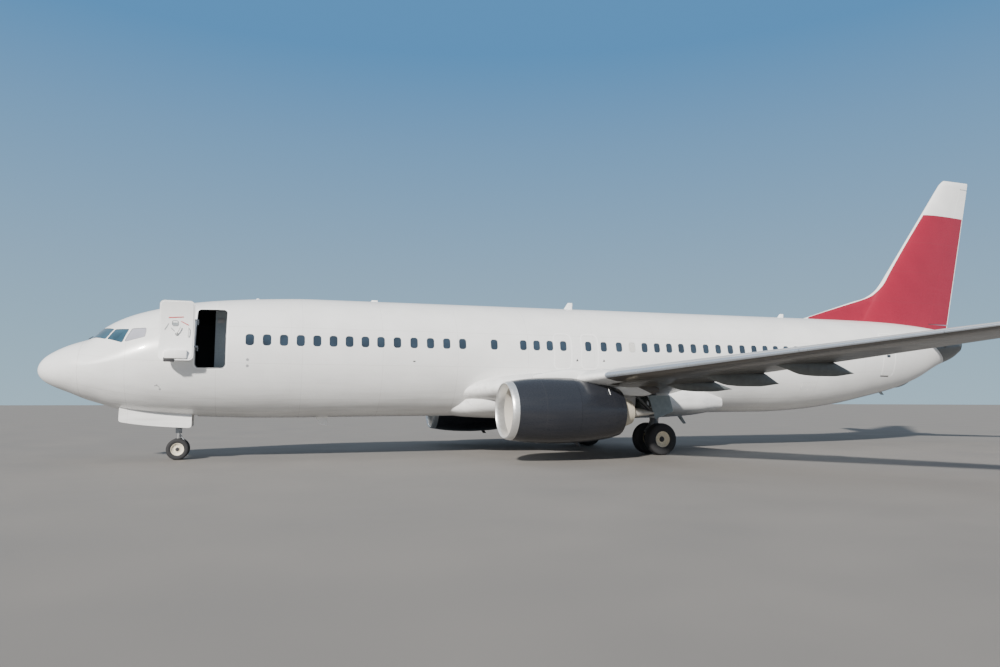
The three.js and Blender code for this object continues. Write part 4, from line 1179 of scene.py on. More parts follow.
def fin_finish(red, white):
    """Red with a white top, and white leading and trailing edges."""
    _, tree, shader = new_material("fin_red")
    x, _, z = coordinates(tree)
    (x0, z0), (x1, z1) = FIN_EDGE[0], FIN_EDGE[-1]
    height = spread(tree, z, z0, z1)
    points = [((b - z0) / (z1 - z0), (a - x0) / (x1 - x0)) for a, b in smooth_run(FIN_EDGE, 3)]
    front = times_plus(tree, curve_of(tree, height, points), x1 - x0, NOSE + x0)
    ahead = spread(tree, less(tree, front, x), 0.0, 0.004)
    (low, _, back_low, _), (high, _, back_high, _) = FIN[1], FIN[2]
    lean = (back_high - back_low) / (high - low)
    back = times_plus(tree, z, lean, NOSE + back_low - low * lean - 0.035)
    behind = spread(tree, less(tree, x, back), 0.0, 0.004)
    band = spread(tree, z, FIN_BAND, FIN_BAND + 0.004)
    pale = most(tree, most(tree, ahead, behind), band)
    ribs = joint_line(tree, z, 6.4, 1.45, 0.003)
    colour = mix_colour(tree, pale, opaque(red), opaque(white))
    paint_over(tree, shader, colour, amount=0.15, joint=times(tree, ribs, 0.35))


def cowl_finish(colour):
    """Dark gloss paint with joints around the cowl."""
    _, tree, shader = new_material("cowl_paint")
    x = coordinates(tree)["X"]
    first = joint_line(tree, x, NOSE + 14.35, 90.0, 0.005)
    second = joint_line(tree, x, NOSE + 16.62, 90.0, 0.004)
    joint = times(tree, most(tree, first, second), 0.15)
    paint_over(tree, shader, colour, amount=0.1, low=0.4, high=2.2, joint=joint, coat=0.15)


def pylon_finish(white, dark):
    """White paint, with painted shade in the underside's dark grey above a line that falls towards the back,
    where the pylon turns away from the light.
    """
    _, tree, shader = new_material("pylon_paint")
    x, _, z = coordinates(tree)
    station, height, fall = PYLON_SHADE_LINE
    above = times_plus(tree, x, fall, z)
    above = less(tree, above, height + fall * (NOSE + station))
    paint_over(tree, shader, mix_colour(tree, spread(tree, above, 0.0, 0.004), opaque(white), opaque(dark)))


def plain(name, colour, roughness=0.5, metallic=0.0, grain=40.0, vary=0.12, bump=0.05, coat=0.0):
    """A finish with a fine grain in its colour, its roughness and its relief."""
    material, tree, shader = new_material(name)
    where = node(tree, "ShaderNodeTexCoord").outputs["Object"]
    noise = node(tree, "ShaderNodeTexNoise", {"Vector": where, "Scale": grain, "Detail": 4.0}).outputs[0]
    tint = scaled(tree, colour[:3], spread(tree, noise, 0.3, 0.7, 1 - vary, 1 + vary))
    tree.links.new(tint, shader.inputs["Base Color"])
    rough = spread(tree, noise, 0.3, 0.7, roughness * 0.85, roughness * 1.15)
    tree.links.new(rough, shader.inputs["Roughness"])
    relief = node(tree, "ShaderNodeBump", {"Height": noise, "Strength": bump, "Distance": 0.003}).outputs[0]
    tree.links.new(relief, shader.inputs["Normal"])
    shader.inputs["Metallic"].default_value = metallic
    shader.inputs["Coat Weight"].default_value = coat
    return material


def spinner_finish():
    """Dark spinner with a pale spiral that shows when it turns."""
    _, tree, shader = new_material("spinner")
    _, y, z = coordinates(tree)
    out = less(tree, calc(tree, "ABSOLUTE", y), ENGINE_SPAN)
    up = less(tree, z, ENGINE_AXIS)
    angle = calc(tree, "ARCTAN2", up, out)
    square = times_plus(tree, out, out, times(tree, up, up))
    radius = calc(tree, "SQRT", square)
    winding = times_plus(tree, radius, 18.0, times(tree, angle, -1.0))
    stroke = spread(tree, calc(tree, "PINGPONG", winding, math.pi), 0.42, 0.47, 1.0, 0.0)
    stroke = times(tree, stroke, spread(tree, radius, 0.175, 0.178, 1.0, 0.0))
    stroke = times(tree, stroke, spread(tree, radius, 0.03, 0.034))
    noise = node(tree, "ShaderNodeTexNoise", {"Scale": 30.0}).outputs[0]
    colour = mix_colour(tree, stroke, (0.05, 0.05, 0.055, 1), (0.7, 0.7, 0.68, 1))
    tree.links.new(colour, shader.inputs["Base Color"])
    tree.links.new(spread(tree, noise, 0.3, 0.7, 0.3, 0.4), shader.inputs["Roughness"])


def build_materials(colours):
    """Every finish of the airliner."""
    build_paint_group()
    build_joint_group()
    build_set_out_tree()
    fuselage_finish(colours.white, colours.cone)
    wing_finish(colours.upper_grey, colours.painted_shade_grey, colours.white)
    fin_finish(colours.red, colours.white)
    cowl_finish(colours.cowl)
    pylon_finish(colours.white, colours.painted_shade_grey)
    spinner_finish()
    # Painted shade: dark teal grey for the flap track fairings, standing in for the shade under the wing
    plain("wing_under", (0.11, 0.122, 0.122), roughness=0.4, grain=8.0, coat=0.2)
    plain("bare_metal", (0.80, 0.81, 0.82), roughness=0.22, metallic=1.0, grain=25.0, vary=0.04)
    plain("steel", (0.50, 0.49, 0.47), roughness=0.35, metallic=1.0, grain=60.0)
    plain("chrome", (0.78, 0.78, 0.78), roughness=0.12, metallic=1.0, grain=60.0, vary=0.03)
    plain("hot_metal", (0.36, 0.32, 0.28), roughness=0.38, metallic=1.0, grain=12.0, vary=0.2)
    plain("door_white", (0.91, 0.91, 0.90), roughness=0.32, grain=8.0, vary=0.02, coat=0.2)
    plain("lip_metal", (0.80, 0.80, 0.79), roughness=0.38, metallic=0.85, grain=14.0, vary=0.04)
    plain("plug_grey", (0.50, 0.47, 0.42), roughness=0.5, metallic=0.2, grain=10.0, vary=0.1)
    plain("core_cream", (0.55, 0.50, 0.40), roughness=0.45, grain=18.0)
    plain("inlet_pale", (0.52, 0.49, 0.44), roughness=0.5, grain=140.0, vary=0.18)
    plain("gear_paint", (0.38, 0.40, 0.42), roughness=0.42, grain=30.0, coat=0.1)
    # Painted shade: dark blue-grey for the main gear doors, standing in for the wing's shadow and the sky's
    # tint on them
    plain("gear_door_painted_shade", (0.24, 0.29, 0.31), roughness=0.4, grain=8.0, coat=0.2)
    # Painted shade: near black for the main gear legs and door stiffeners, standing in for the wing's shadow
    # over them
    plain("gear_painted_shade", (0.11, 0.115, 0.12), roughness=0.42, grain=30.0, coat=0.1)
    plain("wheel_cream", (0.74, 0.67, 0.53), roughness=0.45, grain=30.0)
    plain("tyre_rubber", (0.022, 0.022, 0.024), roughness=0.82, grain=90.0, vary=0.25, bump=0.2)
    plain("seal", (0.035, 0.035, 0.038), roughness=0.7, grain=50.0)
    plain("seal_grey", (0.32, 0.33, 0.34), roughness=0.6, grain=50.0)
    plain("lining_grey", (0.27, 0.30, 0.32), roughness=0.55, grain=20.0)
    plain("lining_pale", (0.60, 0.60, 0.58), roughness=0.5, grain=20.0)
    # Painted light: the entry cabinet is near white with a blue tint, so that in the doorway's shade it still
    # looks lit, with the sky's tint
    plain("cabinet_painted_light", (0.84, 0.93, 0.96), roughness=0.5, grain=20.0, vary=0.06)
    # Painted shade: the entry room's walls are near black for the shade inside
    plain("room_painted_shade", (0.035, 0.036, 0.04), roughness=0.7, grain=20.0)
    plain("floor_dark", (0.06, 0.06, 0.065), roughness=0.6, grain=50.0)
    plain("bay_primer", (0.30, 0.33, 0.31), roughness=0.6, grain=16.0)
    # Painted shade: the panes are opaque and dark, standing in for the shaded cabin and flight deck behind
    # the glass
    plain("pane", (0.020, 0.034, 0.052), roughness=0.06, grain=2.0, vary=0.35, bump=0.0, coat=1.0)
    plain("deck_pane_painted_shade", (0.024, 0.072, 0.108), roughness=0.06, grain=2.0, vary=0.35, bump=0.0, coat=1.0)
    # Painted reflection: a paler glass, used on the left side's third flight deck pane only
    plain("pane_painted_reflection", (0.36, 0.36, 0.41), roughness=0.12, grain=2.0, vary=0.1, bump=0.0, coat=1.0)
    plain("shade", (0.62, 0.61, 0.58), roughness=0.3, grain=30.0, coat=0.6)
    plain("fan_titanium", (0.30, 0.31, 0.33), roughness=0.3, metallic=1.0, grain=30.0)
    plain("lamp_red", (0.55, 0.03, 0.03), roughness=0.15, grain=20.0, coat=1.0)
    plain("lamp_green", (0.02, 0.30, 0.10), roughness=0.15, grain=20.0, coat=1.0)
    plain("lamp_clear", (0.70, 0.72, 0.74), roughness=0.1, metallic=0.4, grain=20.0, coat=1.0)
    plain("mark_red", (0.55, 0.03, 0.04), roughness=0.4, grain=20.0)


# Pieces


def finish_piece(name, mesh, materials, angle=None, body="airframe", replaces=()):
    """Puts a finished mesh in the scene, with its finishes, its body and the nodes it stands for."""
    mesh.name = name
    obj = bpy.data.objects.new(name, mesh)
    bpy.context.scene.collection.objects.link(obj)
    chosen = np.empty(len(mesh.polygons), np.int32)
    mesh.polygons.foreach_get("material_index", chosen)
    mesh.materials.clear()
    for material in [materials] if isinstance(materials, str) else materials:
        mesh.materials.append(MATERIALS[material])
    mesh.polygons.foreach_set("material_index", chosen)
    if angle is not None:
        mesh.shade_smooth()
        mesh.set_sharp_from_angle(angle=math.radians(angle))
    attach(obj, body)
    if replaces:
        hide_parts(*replaces)


def stand_in(node_name, ending, mesh, materials, angle=None, body="airframe"):
    """Puts in the piece that takes the place of one node and carries its name."""
    finish_piece(f"{node_name}_{ending}", mesh, materials, angle, body, [node_name])


def window_stations():
    return [s for first, last, count in WINDOW_RUNS for s in np.linspace(first, last, count)]


def window_prisms(name, sizes, margin, shades=None):
    """One prism through both sides of the fuselage for each pair of cabin windows."""
    half, tall = sizes.window_width / 2 + margin, sizes.window_height / 2 + margin
    prisms = []
    for i, station in enumerate(window_stations()):
        if shades is None or i in shades:
            level = sizes.window_level + PARKED_SLOPE * station
            foot = level - tall + (2 * tall * shades[i] if shades else 0)
            box = rectangle(station - half, station + half, level - tall, level + tall)
            outline = [(x, max(z, foot)) for x, z in rounded_polygon(box, 0.095 + margin)]
            prisms.append(side_prism(name, outline, -WIDE, WIDE))
    return join(name, prisms)


def pane_prism(name, corners, side, grow, radius=0.05):
    """A prism across the skin over one flight deck pane."""
    points = [Vector(place(x, y * -side, z)) for x, y, z in corners]
    middle = sum(points, Vector()) / len(points)
    facing = Vector()
    for a, b in zip(points, points[1:] + points[:1]):
        facing += (a - middle).cross(b - middle)
    facing.normalize()
    if facing.dot(Vector((-0.4, middle.y, 0.3))) < 0:
        facing.negate()
    across = Vector((0, 0, 1)).cross(facing).normalized()
    up = facing.cross(across)
    flat = [((p - middle).dot(across), (p - middle).dot(up)) for p in points]
    outline = rounded_polygon(flat, radius + grow, grow)
    rings = [[middle + across * u + up * v + facing * w for u, v in outline] for w in (-0.45, 0.3)]
    return loft(name, rings)


def outline_frames(sizes):
    """The gaps round the closed doors and hatches."""
    frames = []
    for side, front, back, bottom, top, radius in OUTLINES:
        box = rectangle(front, back, bottom, top)
        outer = rounded_polygon(box, radius, steps=8)
        inner = rounded_polygon(box, radius, -sizes.seam, steps=8)
        frames.append(side_frame("frame", outer, inner, *out_through(side)))
    return join("frames", frames)


def wheel_wells(slot_roof):
    """The space for both main wheels and for the legs that fold into the belly."""
    station, span, radius, below, roof, slot, _ = WELL
    wells = None
    for side, _ in SIDES:
        centre, top = place(station, side * span, below), place(station, side * span, roof)
        outer = sorted((side * span, side * WIDE))
        parts = [
            rod("well", centre, top, radius, sides=96, edge=0.0),
            box_mesh("slot", station - slot, station + slot, *outer, below, slot_roof),
        ]
        for part in parts:
            wells = part if wells is None else carve(wells, part, "UNION")
    return wells


class AIRLINER_OT_fuselage(bpy.types.Operator):
    """Builds the fuselage skin with its openings, recesses and door gaps"""

    bl_idname = "airliner.fuselage"
    bl_label = "Fuselage"

    def execute(self, context):
        sizes = context.scene.airliner_sizes
        self.clean = fuselage_solid("clean", 0.0, CONE_END)
        ends = (1.0, 37.0)
        windows = window_prisms("windows", sizes, 0.0)
        self.windows = carve(windows, fuselage_solid("recess", *ends, sizes.recess))
        self.gaps = carve(outline_frames(sizes), fuselage_solid("gap", *ends, sizes.seam_depth))
        self.piece("radome_skin", fuselage_solid("radome", 0.0, RADOME_END), "fuselage_white", "radome")
        self.nose(sizes)
        self.barrel()
        tail = cut(fuselage_solid("tail", BARREL_END + 0.001, TAIL_END), self.windows, self.gaps)
        self.piece("tail_skin", tail, "fuselage_white", "tail_section")
        self.cone()
        return {"FINISHED"}

    def piece(self, name, mesh, materials, node_name, slot="white_paint"):
        finish_piece(name, borrow_normals(mesh, self.clean), materials, replaces=[node_name])

    def nose(self, sizes):
        nose = fuselage_solid("nose", RADOME_END + 0.001, NOSE_END)
        nose = cut(nose, self.windows, self.gaps)
        panes = [pane_prism("pane", corners, side, 0.0) for side, _ in SIDES for corners in PANES]
        recess = carve(join("panes", panes), fuselage_solid("depth", 1.0, 4.0, sizes.recess))
        nose = carve(nose, recess)
        front, back, sill, head, corner = DOORWAY
        doorway = rounded_polygon(rectangle(front, back, sill, head), corner, steps=10)
        nose = carve(nose, side_prism("doorway", doorway, -WIDE, -0.9))
        x0, x1, y0, y1, z0, z1 = ROOM
        room = box_mesh("room", x0, x1, y0, y1, z0, z1)
        room = carve(room, fuselage_solid("wall", x0 - 0.1, x1 + 0.1, ROOM_WALL), "INTERSECT")
        nose = carve(nose, room)
        nose = carve(nose, box_mesh("pocket", *CABINET[:5], sill + 0.05))
        bay_front, bay_back, bay_half, bay_roof = BAY
        nose = carve(nose, box_mesh("bay", bay_front, bay_back, -bay_half, bay_half, 1.0, bay_roof))

        def in_room(p, n):
            inside = x0 - 0.01 < p.x - NOSE < x1 + 0.01 and -1.72 < p.y < y1 + 0.01
            level = skin_row(p.x - NOSE)[3]
            away = n.y * p.y + n.z * (p.z - level)
            return inside and z0 - 0.01 < p.z < z1 + 0.01 and away < 0.3 * math.hypot(p.y, p.z - level)

        def in_bay(p, n):
            inside = bay_front - 0.01 < p.x - NOSE < bay_back + 0.01 and abs(p.y) < bay_half + 0.01
            return inside and p.z < bay_roof + 0.01

        # The room's walls take painted shade
        mark_where(nose, 1, in_room)
        mark_where(nose, 2, lambda p, n: in_room(p, n) and n.z > 0.9 and p.z < sill + 0.02)
        mark_where(nose, 3, in_bay)
        finishes = ["fuselage_white", "room_painted_shade", "floor_dark", "bay_primer"]
        self.piece("nose_skin", nose, finishes, "nose_section")

    def barrel(self):
        barrel = cut(fuselage_solid("barrel", NOSE_END + 0.001, BARREL_END), self.windows, self.gaps)
        barrel = carve(barrel, wheel_wells(WELL[4]))

        def in_well(p, n):
            return abs(p.x - NOSE - WELL[0]) < WELL[2] + 0.01 and p.z < 1.96 and abs(p.y) < 1.37

        mark_where(barrel, 1, in_well)
        self.piece("barrel_skin", barrel, ["fuselage_white", "bay_primer"], "fuselage_barrel")

    def cone(self):
        level = skin_row(CONE_END)[3]
        cone = fuselage_solid("cone", TAIL_END + 0.001, CONE_END)
        ends = place(CONE_END - 0.7, 0, level), place(CONE_END + 0.1, 0, level)
        cone = carve(cone, rod("jet", *ends, EXHAUST_RADIUS, sides=64, edge=0.0))
        mark_where(cone, 1, lambda p, n: p.x - NOSE > CONE_END - 0.04)
        mark_where(cone, 1, lambda p, n: math.hypot(p.y, p.z - level) < EXHAUST_RADIUS + 0.002)
        self.piece("cone_skin", cone, ["fuselage_white", "seal"], "tail_cone", "dark_metal")


class AIRLINER_OT_windows(bpy.types.Operator):
    """Fits the cabin windows and the flight deck panes with their seals"""

    bl_idname = "airliner.windows"
    bl_label = "Windows"

    def execute(self, context):
        sizes = context.scene.airliner_sizes
        depth = sizes.recess - 0.0005
        ends = (5.0, 31.5)
        hole = window_prisms("hole", sizes, -0.007)
        seals = inlay("seals", window_prisms("seals", sizes, -0.0005), 0.003, depth, *ends, hole)
        finish_piece("window_seals", seals, "seal_grey", 30)
        # Painted shade: opaque dark panes stand in for the shaded cabin behind them
        panes = inlay("panes", window_prisms("panes", sizes, -0.0075), 0.010, depth, *ends)
        finish_piece("window_panes", panes, "pane", 30)
        shades = inlay("shades", window_prisms("shades", sizes, -0.0085, SHADES), 0.008, 0.0098, *ends)
        finish_piece("window_shades", shades, "shade", 30)
        panes, seals = [], []
        for side, _ in SIDES:
            for corners in PANES:
                pane = inlay("pane", pane_prism("pane", corners, side, -0.012), 0.006, depth, 1.2, 3.5)
                # Painted reflection: the third pane on the left is paler
                panes.append(marked(pane, int(side < 0 and corners is PANES[2])))
                outer = pane_prism("outer", corners, side, -0.001)
                hole = pane_prism("hole", corners, side, -0.010)
                seals.append(inlay("seal", outer, 0.002, depth, 1.2, 3.5, hole))
        panes, finishes = join("deck", panes), ["deck_pane_painted_shade", "pane_painted_reflection"]
        finish_piece("deck_panes", panes, finishes, 30, replaces=["flight_deck_glazing"])
        finish_piece("deck_seals", join("deck", seals), "seal", 30)
        return {"FINISHED"}


def leaf_slab(outer, inner):
    """The open door's curved slab between two distances from its skin towards its lining."""
    x0, x1, z0, z1 = LEAF
    rings = []
    for share in np.linspace(0, 1, 17):
        z = z0 + (z1 - z0) * share
        y = -LEAF_OUTER - LEAF_BULGE * (2 * share - 1) ** 2
        rings.append([place(x, y - d, z) for x, d in ((x0, outer), (x1, outer), (x1, inner), (x0, inner))])
    return loft("slab", rings)


def strip(start, end, half):
    """The outline of a straight strip between two points."""
    start, end = Vector(start), Vector(end)
    way = (end - start).normalized() * half
    out = Vector((-way.y, way.x))
    return [tuple(p) for p in (start - out, end - out, end + out, start + out)]


def leaf_face(z):
    """The span of the open door's lining at a height."""
    _, _, z0, z1 = LEAF
    return -LEAF_OUTER - LEAF_BULGE * (2 * (z - z0) / (z1 - z0) - 1) ** 2 - LEAF_THICK - 0.014


class AIRLINER_OT_entry(bpy.types.Operator):
    """Builds the open front door, its frame, its hinges and the room behind it"""

    bl_idname = "airliner.entry"
    bl_label = "Entry"

    def execute(self, context):
        self.leaf()
        self.hinges()
        self.doorway()
        self.cabinet()
        return {"FINISHED"}

    def leaf(self):
        x0, x1, z0, z1 = LEAF
        face = leaf_face
        outline = rounded_polygon(LEAF_CORNERS, 0.13, steps=10)
        leaf = carve(leaf_slab(LEAF_THICK, 0.0), side_prism("leaf", outline, -2.6, -1.8), "INTERSECT")
        inner = side_prism("liner", rounded_polygon(LEAF_CORNERS, 0.13, -0.035, steps=10), -2.6, -1.8)
        liner = carve(leaf_slab(LEAF_THICK + 0.014, LEAF_THICK - 0.02), inner, "INTERSECT")
        mid = (x0 + x1) / 2
        parts, add = gathering()
        add(0, leaf)
        add(0, liner)
        deep = face(z0 + 0.17)
        pack = box_mesh("pack", mid - 0.31, mid + 0.31, deep - 0.085, deep + 0.1, z0 + 0.045, z0 + 0.30, 0.03)
        add(0, pack)
        # A girt bar under the slide pack, in near black: partly the bar's own colour, partly painted shade
        # beneath the pack
        add(2, box_mesh("girt_and_shade", 3.70, 3.99, deep - 0.07, deep + 0.06, z0 - 0.05, z0 + 0.09, 0.02))
        for index, ends, half in LEAF_STRIPS:
            height = (ends[0][1] + ends[1][1]) / 2
            add(index, side_prism("strip", strip(*ends, half), face(height) - 0.008, face(height) + 0.012))
        window = rectangle(3.90, 4.04, 4.09, 4.215)
        hole, rim = rounded_polygon(window, 0.03), rounded_polygon(window, 0.05, 0.02)
        y = face(4.15)
        add(4, side_frame("rim", rim, hole, y - 0.012, y + 0.01))
        add(5, side_prism("glass", hole, y - 0.002, y + 0.008))
        z = 3.83
        add(4, bar("boss", (4.02, face(z) + 0.02, z), (4.02, face(z) - 0.035, z), 0.05, 0.042))
        handle = [(4.02, 0.030, 3.83), (4.05, 0.055, 3.88), (4.10, 0.060, 3.99), (4.12, 0.055, 4.05)]
        add(1, hose("handle", [place(x, face(h) - d, h) for x, d, h in handle], 0.014))
        grip = [(3.75, 0.0), (3.79, 0.05), (3.98, 0.055), (4.02, 0.0)]
        add(1, hose("grip", [place(4.34, face(h) - d, h) for h, d in grip], 0.011))
        finishes = ["door_white", "lining_pale", "seal", "mark_red", "seal_grey", "lining_grey"]
        stand_in("entry_door", "leaf", join("leaf", parts), finishes, 32)

    def hinges(self):
        front, back = DOORWAY[0], LEAF[1]
        y = -LEAF_OUTER + 0.045
        for z, word in ((3.48, "lower"), (4.28, "upper")):
            bend = [
                (back - 0.14, y, z),
                (back + 0.02, y, z),
                (front - 0.02, y, z),
                (front + 0.05, y + 0.05, z),
                (front + 0.06, y + 0.16, z - 0.02),
                (front + 0.06, -1.66, z - 0.04),
            ]
            parts = [
                hose("arm", [place(*p) for p in bend], 0.027, sides=16),
                box_mesh("foot", back - 0.19, back - 0.09, y - 0.045, y + 0.03, z - 0.06, z + 0.06, 0.012),
                bar("pin", (front + 0.06, -1.70, z - 0.12), (front + 0.06, -1.70, z + 0.04), 0.02),
            ]
            hinge = join("hinge", parts)
            node_name = f"door_hinge_{word}"
            finish_piece(f"hinge_{word}", hinge, "gear_paint", 35, replaces=[node_name])

    def doorway(self):
        front, back, sill, head, corner = DOORWAY
        box = rectangle(front, back, sill, head)
        hole = side_prism("hole", rounded_polygon(box, corner, -0.012, steps=10), -2.6, -0.8)
        rim = side_prism("rim", rounded_polygon(box, corner, -0.0005, steps=10), -2.4, -1.2)
        edge = inlay("edge", rim, 0.004, 0.11, 4.0, 6.0, hole)
        finish_piece("doorway_frame", edge, "seal_grey", 30)
        plate = box_mesh("plate", front + 0.05, back - 0.05, -1.80, -1.45, sill, sill + 0.006)
        finish_piece("doorway_plate", plate, "steel")

    def cabinet(self):
        x0, x1, y0, y1, z0, z1 = CABINET
        parts, add = gathering()
        add(0, box_mesh("body", x0 + 0.002, x1 - 0.002, y0 + 0.002, y1 - 0.002, z0 + 0.002, z1, 0.008))
        panels = [
            # front, back, bottom and top offsets, finish
            (0.03, 0.84, 0.12, 0.70, 0),
            (0.03, 0.84, 0.735, 1.50, 0),
            (0.06, 0.28, 1.56, 1.70, 1),
        ]
        for a, b, c, d, finish in panels:
            panel = box_mesh("panel", x0 + a, x0 + b, y0 - 0.012, y0 + 0.02, z0 + c, z0 + d, 0.006)
            add(finish, panel)
        header = box_mesh("header", x0 + 0.002, x1 - 0.002, y0 + 0.004, 0.6, z1 + 0.001, ROOM[5] - 0.005)
        add(0, header)
        for rise in (0.62, 1.40):
            low = z0 + rise
            add(2, box_mesh("latch", x0 + 0.36, x0 + 0.46, y0 - 0.024, y0, low, low + 0.025, 0.005))
        finishes = ["cabinet_painted_light", "door_white", "steel"]
        stand_in("entry_cabinet", "front", join("cabinet", parts), finishes, 35)


LEAF_CORNERS = rectangle(*LEAF)
LEAF_STRIPS = [
    # finish, ends as station and height, half width of a strip on the lining
    (3, ((3.79, 4.31), (4.20, 4.34)), 0.013),
    (3, ((4.13, 4.21), (4.34, 4.10)), 0.012),
    (4, ((3.80, 4.14), (3.69, 3.95)), 0.012),
    (4, ((3.86, 4.01), (3.96, 3.91)), 0.012),
]


def plan_marks(mesh, table, camber):
    """Stores each point's span, share of the chord and height over the mean line."""
    points = np.empty(len(mesh.vertices) * 3, np.float32)
    mesh.vertices.foreach_get("co", points)
    points = points.reshape(-1, 3)
    span = np.abs(points[:, 1])
    keys = [row[0] for row in table]
    edge, chord, height, twist = (np.interp(span, keys, [row[k] for row in table]) for k in (1, 2, 3, 5))
    along = points[:, 0] - NOSE - edge
    share = along / chord
    mean = height - along * np.sin(np.radians(twist)) + chord * 4 * camber * share * (1 - share)
    data = np.stack([span, share, points[:, 2] - mean], axis=1).astype(np.float32)
    mesh.attributes.new("plan", "FLOAT_VECTOR", "POINT").data.foreach_set("vector", data.ravel())
    return mesh


def surface_mesh(mesh, clean, table, camber):
    return plan_marks(borrow_normals(mesh, clean), table, camber)


def canoe(row, side):
    """The pointed fairing of one flap track."""
    span, front, back, tip = row
    section = row_at(WING, span)
    edge, chord = section[1:3]
    floors = smooth_rule(*zip(*FAIRING_FLOOR))
    wing_end = mean_point(side, section, WING_CAMBER, 1.0).z
    rings = []
    for s in np.linspace(0, 1, 40):
        station = front + (back - front) * s
        share = (station - edge) / chord
        if share < 1:
            roof = mean_point(side, section, WING_CAMBER, share).z
        else:
            roof = wing_end + (tip + 0.012 - wing_end) * (station - edge - chord) / (back - edge - chord)
        floor = min(tip + float(floors(s)), roof - 0.01)
        half = FAIRING_HALF * math.sin(math.pi * (0.1 + 0.86 * s)) ** 0.5
        middle, reach = (roof + floor) / 2, (roof - floor) / 2
        ring = []
        for a in full_turn(32):
            c, t = math.cos(a), math.sin(a)
            power = 0.6 if t > 0 else 0.95
            y, z = half * swollen(c, power), reach * swollen(t, power)
            ring.append(place(station, side * span + y, middle + z))
        rings.append(ring)
    return loft("canoe", rings)


class AIRLINER_OT_wings(bpy.types.Operator):
    """Builds the wings with their slats, flaps, ailerons and fairings"""

    bl_idname = "airliner.wings"
    bl_label = "Wings"

    def execute(self, context):
        gap = context.scene.airliner_sizes.swing_gap
        for side, word in SIDES:
            whole = wing_solid("whole", WING, WING_CAMBER, side)
            wing, aileron, pins = hinged_panel(whole, WING, WING_CAMBER, side, AILERON, gap)
            self.piece(f"aileron_{word}", aileron, whole, f"aileron_{word}")
            finish_piece(f"aileron_{word}_pins", join("pins", pins), "steel", 35)

            slats = []
            for ends in SLATS:
                plan = plan_prism("slat", plan_panel(WING, side, *ends, -SLAT_SHARE, SLAT_SHARE))
                slats.append(carve(whole, plan, "INTERSECT"))
            slats = surface_mesh(join("slats", slats), whole, WING, WING_CAMBER)
            stand_in(f"slats_{word}", "skin", slats, "wing_grey")
            run = plan_panel(WING, side, SLATS[0][0], SLATS[-1][1], -SLAT_SHARE, SLAT_SHARE, 0.006)
            wing = carve(wing, plan_prism("cut", run))
            for name, inner, outer, start in FLAPS:
                wing = carve(wing, plan_prism("cut", plan_panel(WING, side, inner, outer, start, 1, 0.014)))
                plan = plan_prism("flap", plan_panel(WING, side, inner, outer, start, 1))
                self.piece(f"{name}_{word}", carve(whole, plan, "INTERSECT"), whole, "airframe")
            wing = self.spoiler_gaps(wing, side)
            self.piece(f"wing_{word}", wing, whole, "airframe")
            canoes = join("canoes", [canoe(row, side) for row in FAIRINGS])
            # The fairings take the painted shade finish
            finish_piece(f"flap_tracks_{word}", canoes, "wing_under", 50)
        return {"FINISHED"}

    def piece(self, node_name, mesh, whole, body):
        mesh = surface_mesh(mesh, whole, WING, WING_CAMBER)
        stand_in(node_name, "skin", mesh, "wing_grey", body=body)

    def spoiler_gaps(self, wing, side):
        inset = wing_solid("inset", WING, WING_CAMBER, side, -0.006)
        for inner, outer, start, end in SPOILERS:
            outline = plan_panel(WING, side, inner, outer, start, end)
            inside = plan_panel(WING, side, inner, outer, start, end, -0.012)
            middle = mean_point(side, row_at(WING, (inner + outer) / 2), WING_CAMBER, (start + end) / 2).z
            wing = carve(wing, carve(plan_frame("gap", outline, inside, middle, middle + 2), inset))
        return wing


